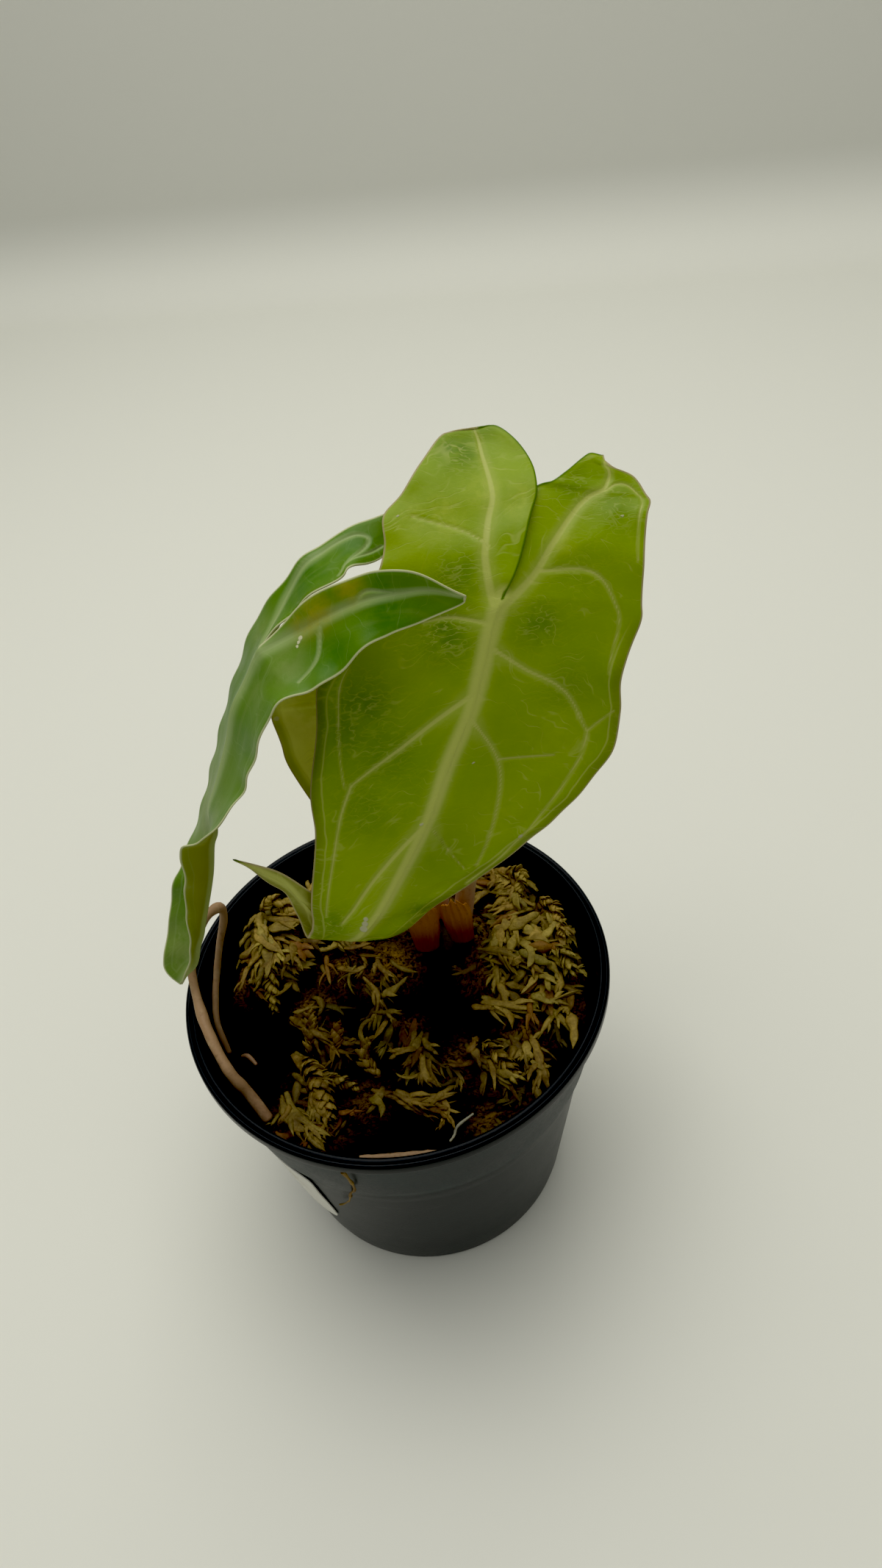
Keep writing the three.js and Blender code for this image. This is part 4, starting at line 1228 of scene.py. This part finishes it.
def settled(path, width):
    """Keeps a strand above the bed and inside the pot."""
    x, y, z = path.T
    wall, wall_level, wall_slope = 40.6, 58, 0.1
    limit = wall + wall_slope * (np.clip(z, 54, 69) - wall_level) - 0.55 * width
    scale = np.minimum(1, limit / np.maximum(np.hypot(x, y), 1e-6))
    x, y = x * scale, y * scale
    return np.column_stack([x, y, np.maximum(z, moss_height(x, y) + 0.25 * width)])


def wandering(start, heading, pitch, length, bend, droop, steps):
    """A path that sets off along a heading, bends sideways and droops; angles in radians."""
    share = np.linspace(0, 1, steps)
    rise = pitch - droop * share
    moves = np.cumsum(polar(np.cos(rise), heading + bend * share, np.sin(rise)), axis=0)
    moves = moves * length / (steps - 1)
    return np.asarray(start, float) + moves - moves[0]


def leaflet(heap, base, ahead, outward, length, width, tone, hue):
    """A small cupped leaf with a point, such as those that clothe a shoot."""
    share = np.linspace(0, 1, 5)[:, None]
    path = base + ahead * length * share + outward * length * 0.3 * np.sin(2.6 * share)
    widths = width * np.array([0.35, 0.9, 1.0, 0.6, 0.06])
    heap.add(ribbon_rings(path, widths, 0.2, -0.5, outward, 0.0, 6), tone, hue)


def shoot(heap, path, length, width, spacing, tone, hue, rng):
    """A leafy shoot: leaflets wound round a stalk, pointing forward and overlapping."""
    stalk_radius = 0.35
    winding = 2.4
    path = even_points(path, spacing)
    heap.add(round_rings(path, np.full(len(path), stalk_radius), 6), tone * 0.5, hue)
    first, second = frames_along(path, (0.3, 0.2, 0.9))
    tangents = unit(np.gradient(path, axis=0))
    for index, place in enumerate(path):
        share = index / (len(path) - 1)
        size = 0.55 + 0.6 * math.sin(math.pi * min(1, 0.15 + 0.8 * share))
        for turn in range(2):
            angle = winding * index + math.pi * turn + rng.normal(0, 0.2)
            outward = first[index] * math.cos(angle) + second[index] * math.sin(angle)
            tilt = 0.5 + rng.normal(0, 0.1)
            ahead = tangents[index] * math.cos(tilt) + outward * math.sin(tilt)
            shade = clipped(tone + rng.normal(0, 0.15))
            leaflet(heap, place, ahead, outward, length * size, width * size, shade, hue)


def frond(heap, route, width, rng, tone, hue, forks):
    """A soft flattened strand, widest near its foot, with side strands that fork off it."""
    spacing = 0.7
    path = settled(even_points(route, spacing), width)
    share = np.linspace(0, 1, len(path))
    widths = width * np.minimum(1, 0.4 + 2.5 * share) * (1 - share**2.6) ** 0.7
    widths = widths * (1 + 0.22 * np.sin(share * rng.uniform(6, 16) + rng.uniform(0, 6)))
    thickness = rng.uniform(0.35, 0.6)
    cup = rng.uniform(-0.6, 0.6)
    twist = rng.normal(0, 0.7)
    heap.add(ribbon_rings(path, np.maximum(widths, 0.07), thickness, cup, (0, 0, 1), twist), tone, hue)
    length = spacing * len(path)
    tangents = unit(np.gradient(path, axis=0))
    for index in range(forks):
        place = int(len(path) * rng.uniform(0.15, 0.75))
        side = 1 if index % 2 else -1
        yaw = math.atan2(tangents[place][1], tangents[place][0]) + side * rng.uniform(0.5, 1.1)
        reach = length * rng.uniform(0.28, 0.5)
        branch = wandering(path[place], yaw, rng.uniform(0, 0.5), reach, -0.6 * side, 0.6, 7)
        shade = clipped(tone + rng.normal(0, 0.1))
        frond(heap, branch, width * rng.uniform(0.5, 0.75), rng, shade, hue, forks // 3)


def strand(heap, start, heading, length, width, rng, tone, hue):
    """A frond that sets off along a heading, bends and droops, and sometimes forks."""
    pitch = 0.25 + rng.normal(0, 0.2)
    path = wandering(start, heading, pitch, length, rng.normal(0, 1.0), rng.uniform(0.2, 1.1), 8)
    frond(heap, path, width, rng, tone, hue, int(rng.integers(0, 4)))


# Clumps of moss: x, y, spread, strands, heading and fan in degrees, length, width, height above
# the bed, tone and hue.
MOSS_CLUMPS = [
    (-31, 24, 6, 28, -50, 90, 11, 2.6, 2.8, 0.85, 0.4),
    (-24, 31, 5, 14, -30, 70, 11, 2.4, 2.6, 0.8, 0.4),
    (-17, 35, 4, 9, -20, 60, 10, 2.4, 2.5, 0.75, 0.4),
    (-34, 14, 4.5, 34, -20, 160, 6, 1.7, 2.5, 0.55, 0.2),
    (-25, 18, 4, 6, -60, 90, 8, 1.9, 2.0, 0.5, 0.4),
    (-12, 12, 5, 8, -90, 120, 8, 1.4, 2.6, 0.45, 0.4),
    (-3, 10, 5, 8, -80, 120, 8, 1.5, 2.6, 0.45, 0.4),
    (-20, 2, 3, 3, 10, 40, 9, 1.8, 1.5, 0.4, 0.5),
    (-17, -9, 3, 4, -90, 90, 7, 2.2, 2.0, 0.55, 0.2),
    (-20, -16, 3.5, 4, -90, 70, 8, 2.2, 2.2, 0.6, 0.25),
    (-17, -26, 3, 7, -80, 90, 6, 1.6, 1.6, 0.45, 0.1),
    (-25, -25, 3.5, 11, -60, 140, 5, 1.7, 2.2, 0.65, 0.4),
    (-23, -31, 2.5, 5, -60, 120, 4.5, 1.5, 1.2, 0.55, 0.4),
    (-9, -22, 3.5, 3, -60, 90, 8, 2.2, 2.0, 0.4, 0.4),
    (-1, -6, 3.5, 5, -110, 60, 9, 2.2, 2.4, 0.55, 0.4),
    (2, -15, 3.5, 4, -90, 60, 8, 2.0, 2.0, 0.45, 0.5),
    (10, -17, 4, 3, -90, 60, 7, 1.7, 1.6, 0.25, 0.5),
    (17, -21, 3, 3, -70, 60, 7, 1.8, 2.0, 0.4, 0.4),
    (26, 12, 7, 28, -60, 180, 8, 2.4, 3.8, 0.85, 0.5),
    (31, 6, 6, 24, -60, 180, 8, 2.5, 4.0, 0.95, 0.55),
    (32, -4, 5, 15, -80, 120, 8, 2.4, 3.4, 0.8, 0.45),
    (25, -2, 5, 10, -80, 120, 8, 2.0, 2.8, 0.6, 0.3),
    (25, -13, 3.5, 6, -95, 40, 11, 2.1, 2.6, 0.4, 0.5),
    (22, -24, 3, 3, -95, 50, 8, 1.9, 1.4, 0.3, 0.6),
    (31, 22, 6, 26, 180, 140, 9, 2.3, 3.0, 0.85, 0.4),
    (22, 29, 5, 18, 160, 120, 9, 2.2, 2.6, 0.75, 0.4),
    (37, 1, 2.5, 7, -30, 160, 6, 1.8, 3.0, 0.75, 0.6),
    (15, -31, 3, 4, -60, 120, 5, 1.6, 1.2, 0.45, 0.5),
    (6, 28, 7, 14, 180, 180, 9, 2.0, 2.4, 0.6, 0.4),
    (-10, 27, 7, 14, 180, 180, 9, 2.0, 2.4, 0.6, 0.4),
    (2, 37, 4, 7, 180, 90, 9, 2.0, 1.8, 0.6, 0.4),
    (16, 18, 4, 6, -90, 160, 7, 1.6, 2.2, 0.5, 0.4),
    (17, 6, 3, 4, -60, 100, 6, 1.4, 1.5, 0.4, 0.2),
]
# Shoots: three places with their height above the bed, leaflet length and width, tone and hue.
MOSS_SHOOTS = [
    ((-28.5, 12, 4.5), (-29, 8, 3.5), (-29, 4, 1), 2.4, 1.5, 0.8, 0.5),
    ((-21, -10, 1), (-20.5, -6, 3), (-20.5, -2, 4), 2.4, 1.9, 0.6, 0.2),
    ((-22, -12, 2), (-19.5, -17, 3.5), (-17, -25, 1), 3.2, 2.6, 0.75, 0.2),
    ((-19, -16, 3), (-16, -18, 3), (-11.5, -20, 1.5), 2.0, 1.6, 0.8, 0.4),
    ((-15.5, -11.5, 1), (-15, -9, 2.6), (-14.5, -5.5, 3), 2.2, 2.0, 0.6, 0.1),
    ((34, 18, 5), (36.5, 14, 5.5), (37, 7.5, 4), 2.2, 1.6, 0.8, 0.15),
    ((16, -15, 3), (18, -18, 4), (21.5, -22.5, 2), 2.8, 1.6, 0.8, 0.35),
    ((35, 4, 5), (36.5, 1, 5.5), (37, -2, 4), 2.8, 1.6, 0.85, 0.7),
    ((-6, -19, 2), (-9, -15, 3), (-8.5, -11, 2.5), 2.2, 1.7, 0.5, 0.3),
    ((-30.5, 24, 4), (-27.5, 25.5, 5), (-23, 24, 3), 2.4, 1.7, 0.8, 0.4),
    ((26.5, 28, 2), (30, 24, 5), (29.5, 20, 4), 2.4, 2.0, 0.8, 0.5),
    ((-8, 33, 2), (-2, 34, 4), (4, 32, 2), 2.4, 1.8, 0.7, 0.4),
]
SHOOT_SPACING = 0.55
# Tufts: radius, and three places with their height above the bed.
MOSS_TUFTS = [
    (2.1, (-25, -10, 0), (-21, -16, 0.6), (-19, -24, 0)),
    (1.8, (-25, 0, 0), (-20, -5, 0.5), (-14.5, -10, 0)),
    (2.2, (-8, 5, 0), (-5, -1, 0.6), (-6, -8, 0)),
    (2, (4, -9, 0), (2, -15, 0.5), (4.5, -21, 0)),
    (2, (12.5, -14, 0), (15.5, -19, 0.6), (20, -23.5, 0)),
    (1.6, (25.5, -15, 0), (26.5, -20, 0.5), (25, -27, 0)),
    (2.2, (34.5, 16, 0), (36.5, 10, 0.5), (36.5, 3, 0)),
    (2, (22, 30, 0), (26, 27, 0.9), (30, 22, 0.3)),
    (2, (-27, 24, 0.4), (-22, 27.5, 0.9), (-15, 30, 0.2)),
    (1.7, (-33, 15, 0), (-28.5, 12.5, 0.6), (-23, 9, 0)),
    (1.7, (-19, 21, 0), (-14, 18, 0.6), (-9.5, 13.5, 0)),
    (2, (-27, -19.5, 0), (-24.5, -25.5, 0.4), (-17, -31.5, 0)),
    (2.2, (19.5, 7.5, 0), (25, 4, 0.6), (31, 0, 0)),
    (1.8, (16, -4.5, 0.2), (21.5, -7, 0.5), (28.5, -9.5, 0)),
    (1.8, (-3, -23, 0), (2, -25.6, 0.5), (10.5, -25.2, 0)),
    (1.7, (-3, 33, 0), (4, 34, 0.4), (11, 33, 0)),
]


def moss_tufts(material, rng):
    """Each tuft is a loose bundle: strands along its whole route, and short ones that leave it."""
    for index, (radius, *route) in enumerate(MOSS_TUFTS):
        path = even_points(on_moss(route, radius), 0.5)
        heading = math.atan2(*(path[-1] - path[0])[[1, 0]])
        heap = Heap()
        # Painted shade: tufts at the front are darker.
        paleness = 0.45 + 0.55 * painted_light(*route[1][:2])
        for _ in range(3):
            tone = clipped(rng.normal(0.6, 0.15)) * paleness
            moved = path[::3] + rng.normal(0, 0.35 * radius, 3)
            frond(heap, moved, rng.uniform(1.3, 2.3), rng, tone, rng.uniform(0.1, 0.7), 2)
        for _ in range(6):
            place = path[int(rng.integers(0, len(path)))] + rng.normal(0, 0.45 * radius, 3)
            turn = heading + rng.normal(0, 0.6)
            tone = clipped(rng.normal(0.5, 0.2)) * paleness
            length = rng.uniform(4, 8)
            width = rng.uniform(1.0, 2.0)
            strand(heap, place, turn, length, width, rng, tone, rng.uniform(0.1, 0.7))
        heap.build(f"moss_tuft_{index + 1}_strands", material, "moss", f"moss_tuft_{index + 1}")


def moss_strands(material, rng):
    """Loose strands over the left, right and front of the bed, and leafy shoots."""
    heaps = {"left": Heap(), "right": Heap(), "front": Heap(), "shoots": Heap()}
    for x, y, spread, count, heading, fan, length, width, height, tone, hue in MOSS_CLUMPS:
        heap = heaps["right" if x > 12 else "left" if y > -4 else "front"]
        for _ in range(count):
            place_x = x + rng.normal(0, spread * 0.6)
            place_y = y + rng.normal(0, spread * 0.6)
            lift = height * rng.uniform(0.05, 1.0)
            start = (place_x, place_y, moss_height(place_x, place_y) + lift)
            turn = math.radians(heading + rng.uniform(-0.5, 0.5) * fan)
            # Painted shade: strands at the front, and strands that start low in a clump, are darker.
            paleness = tone * (0.45 + 0.55 * painted_light(place_x, place_y))
            shade = clipped(paleness * (0.45 + 0.55 * lift / height) + rng.normal(0, 0.12))
            tint = clipped(hue + rng.normal(0, 0.25))
            size = rng.uniform(0.6, 1.2)
            strand(heap, start, turn, length * size, width * rng.uniform(0.55, 1.15), rng, shade, tint)
    for *route, length, width, tone, hue in MOSS_SHOOTS:
        path = [(x, y, moss_height(x, y) + lift) for x, y, lift in route]
        # Painted shade: shoots at the front are darker.
        tone = tone * (0.5 + 0.5 * painted_light(*route[0][:2]))
        shoot(heaps["shoots"], path, length, width, SHOOT_SPACING, tone, hue, rng)
    for name, heap in heaps.items():
        heap.build(f"moss_{name}", material, "moss")


# Places down the outside of the pot, in degrees round it and millimetres up.
HANGING_MOSS = [
    (-107.6, 66), (-107, 62.5), (-106.8, 59), (-108.2, 54), (-110.5, 49.8), (-111.6, 46.5),
    (-113.2, 43), (-117.8, 38),
]


def hanging_thread(material):
    """A dry curly moss thread that hangs down the outside of the pot from under the lip."""
    degrees, height = np.array(HANGING_MOSS).T
    gap = 0.9
    route = polar(pot_outer_radius(height) + gap, np.radians(degrees), height)
    path = even_points(route, 0.25)
    share = np.linspace(0, 1, len(path))
    path[:, 0] += 0.4 * np.sin(share * 23) * share
    path[:, 2] += 0.3 * np.sin(share * 31)
    heap = Heap()
    heap.add(round_rings(path, 0.34 * (1 - 0.5 * share) * (1 + 0.2 * np.sin(share * 40)), 8), 0.35, 0.1)
    heap.fields["depth"] = [np.full(heap.count, 3.0)]
    heap.build("hanging_thread", material, "moss", "hanging_moss_thread")


def moss():
    material = moss_material()
    rng = np.random.default_rng(11)
    moss_bed()
    moss_tufts(material, rng)
    moss_strands(material, rng)
    hanging_thread(material)


moss()

# Camera at the photograph's place: millimetres, degrees, and the focal length in image pixels.
IMAGE_HEIGHT = 2133
CAMERA_PLACE = (15.3, -135.4, 245.4)
CAMERA_PITCH = 42.8
CAMERA_ROLL = -8.48
FOCAL_PIXELS = 1400.0
SENSOR_WIDTH = 36


def camera():
    """The camera looks along +Y and down, rolled a little."""
    data = bpy.data.cameras.new("camera")
    data.sensor_width = SENSOR_WIDTH
    data.lens = FOCAL_PIXELS * SENSOR_WIDTH / IMAGE_HEIGHT
    data.clip_start = 0.01
    data.clip_end = 20
    made = bpy.data.objects.new("camera", data)
    tilt = Matrix.Rotation(math.radians(90 - CAMERA_PITCH), 4, "X")
    roll = Matrix.Rotation(math.radians(CAMERA_ROLL), 4, "Z")
    made.matrix_world = Matrix.Translation(Vector(CAMERA_PLACE) * MM) @ tilt @ roll
    bpy.context.scene.collection.objects.link(made)
    bpy.context.scene.camera = made


# Surroundings, in metres and degrees
SWEEP_BEND = 0.06
SWEEP_WALL = 0.69
SWEEP_REACH = 2.5
SWEEP_HEIGHT = 1.2
SWEEP_TURN = -12.7
LIGHT_PLACE = (-0.04, 0.16, 0.95)
LIGHT_AIM = (0, 0, 0.05)
LIGHT_SIZE = 0.85
LIGHT_POWER = 6.2
LIGHT_COLOUR = (1.0, 0.985, 0.95)
WORLD_STRENGTH = 0.42
BLACK_LEVEL = 0.014


def sweep():
    """A pale floor that bends up into a wall behind the pot."""
    profile = [(-SWEEP_REACH, 0.0)]
    for angle in np.linspace(0, math.pi / 2, 17).tolist():
        forward = SWEEP_WALL - SWEEP_BEND + SWEEP_BEND * math.sin(angle)
        profile.append((forward, SWEEP_BEND - SWEEP_BEND * math.cos(angle)))
    profile.append((SWEEP_WALL, SWEEP_HEIGHT))
    vertices = [(x, y, z) for y, z in profile for x in (-SWEEP_REACH, SWEEP_REACH)]
    faces = [(2 * i, 2 * i + 1, 2 * i + 3, 2 * i + 2) for i in range(len(profile) - 1)]
    mesh = bpy.data.meshes.new("sweep")
    mesh.from_pydata(vertices, [], faces)
    mesh.transform(Matrix.Rotation(math.radians(SWEEP_TURN), 4, "Z"))
    mesh.polygons.foreach_set("use_smooth", [True] * len(faces))
    floor = bpy.data.objects.new("sweep", mesh)
    bpy.context.scene.collection.objects.link(floor)
    shader = Shader("sweep")
    # Painted shade: the wall is a shade darker than the floor, for the light that falls off behind the
    # pot.
    upright = shader.place.part("Z").ramp(0.005, SWEEP_BEND)
    colour = upright.mix(srgb(226, 226, 216), srgb(206, 206, 198))
    mesh.materials.append(shader.finish(shader.surface(colour, 0.9, None, 0.2)))


def lighting():
    """A broad soft light overhead, pale surroundings, and the camera's view of them."""
    data = bpy.data.lights.new("overhead", "AREA")
    data.shape = "RECTANGLE"
    data.size = LIGHT_SIZE
    data.size_y = LIGHT_SIZE
    data.energy = LIGHT_POWER
    data.color = LIGHT_COLOUR
    made = bpy.data.objects.new("overhead", data)
    made.location = LIGHT_PLACE
    made.rotation_euler = (Vector(LIGHT_AIM) - Vector(LIGHT_PLACE)).to_track_quat("-Z", "Y").to_euler()
    bpy.context.scene.collection.objects.link(made)
    world = bpy.data.worlds.new("surroundings")
    bpy.context.scene.world = world
    world.use_nodes = True
    background = world.node_tree.nodes["Background"]
    background.inputs["Color"].default_value = srgb(232, 234, 230)
    background.inputs["Strength"].default_value = WORLD_STRENGTH
    view = bpy.context.scene.view_settings
    view.view_transform = "Standard"
    view.use_curve_mapping = True
    view.curve_mapping.black_level = (BLACK_LEVEL,) * 3
    view.curve_mapping.update()


camera()
sweep()
lighting()
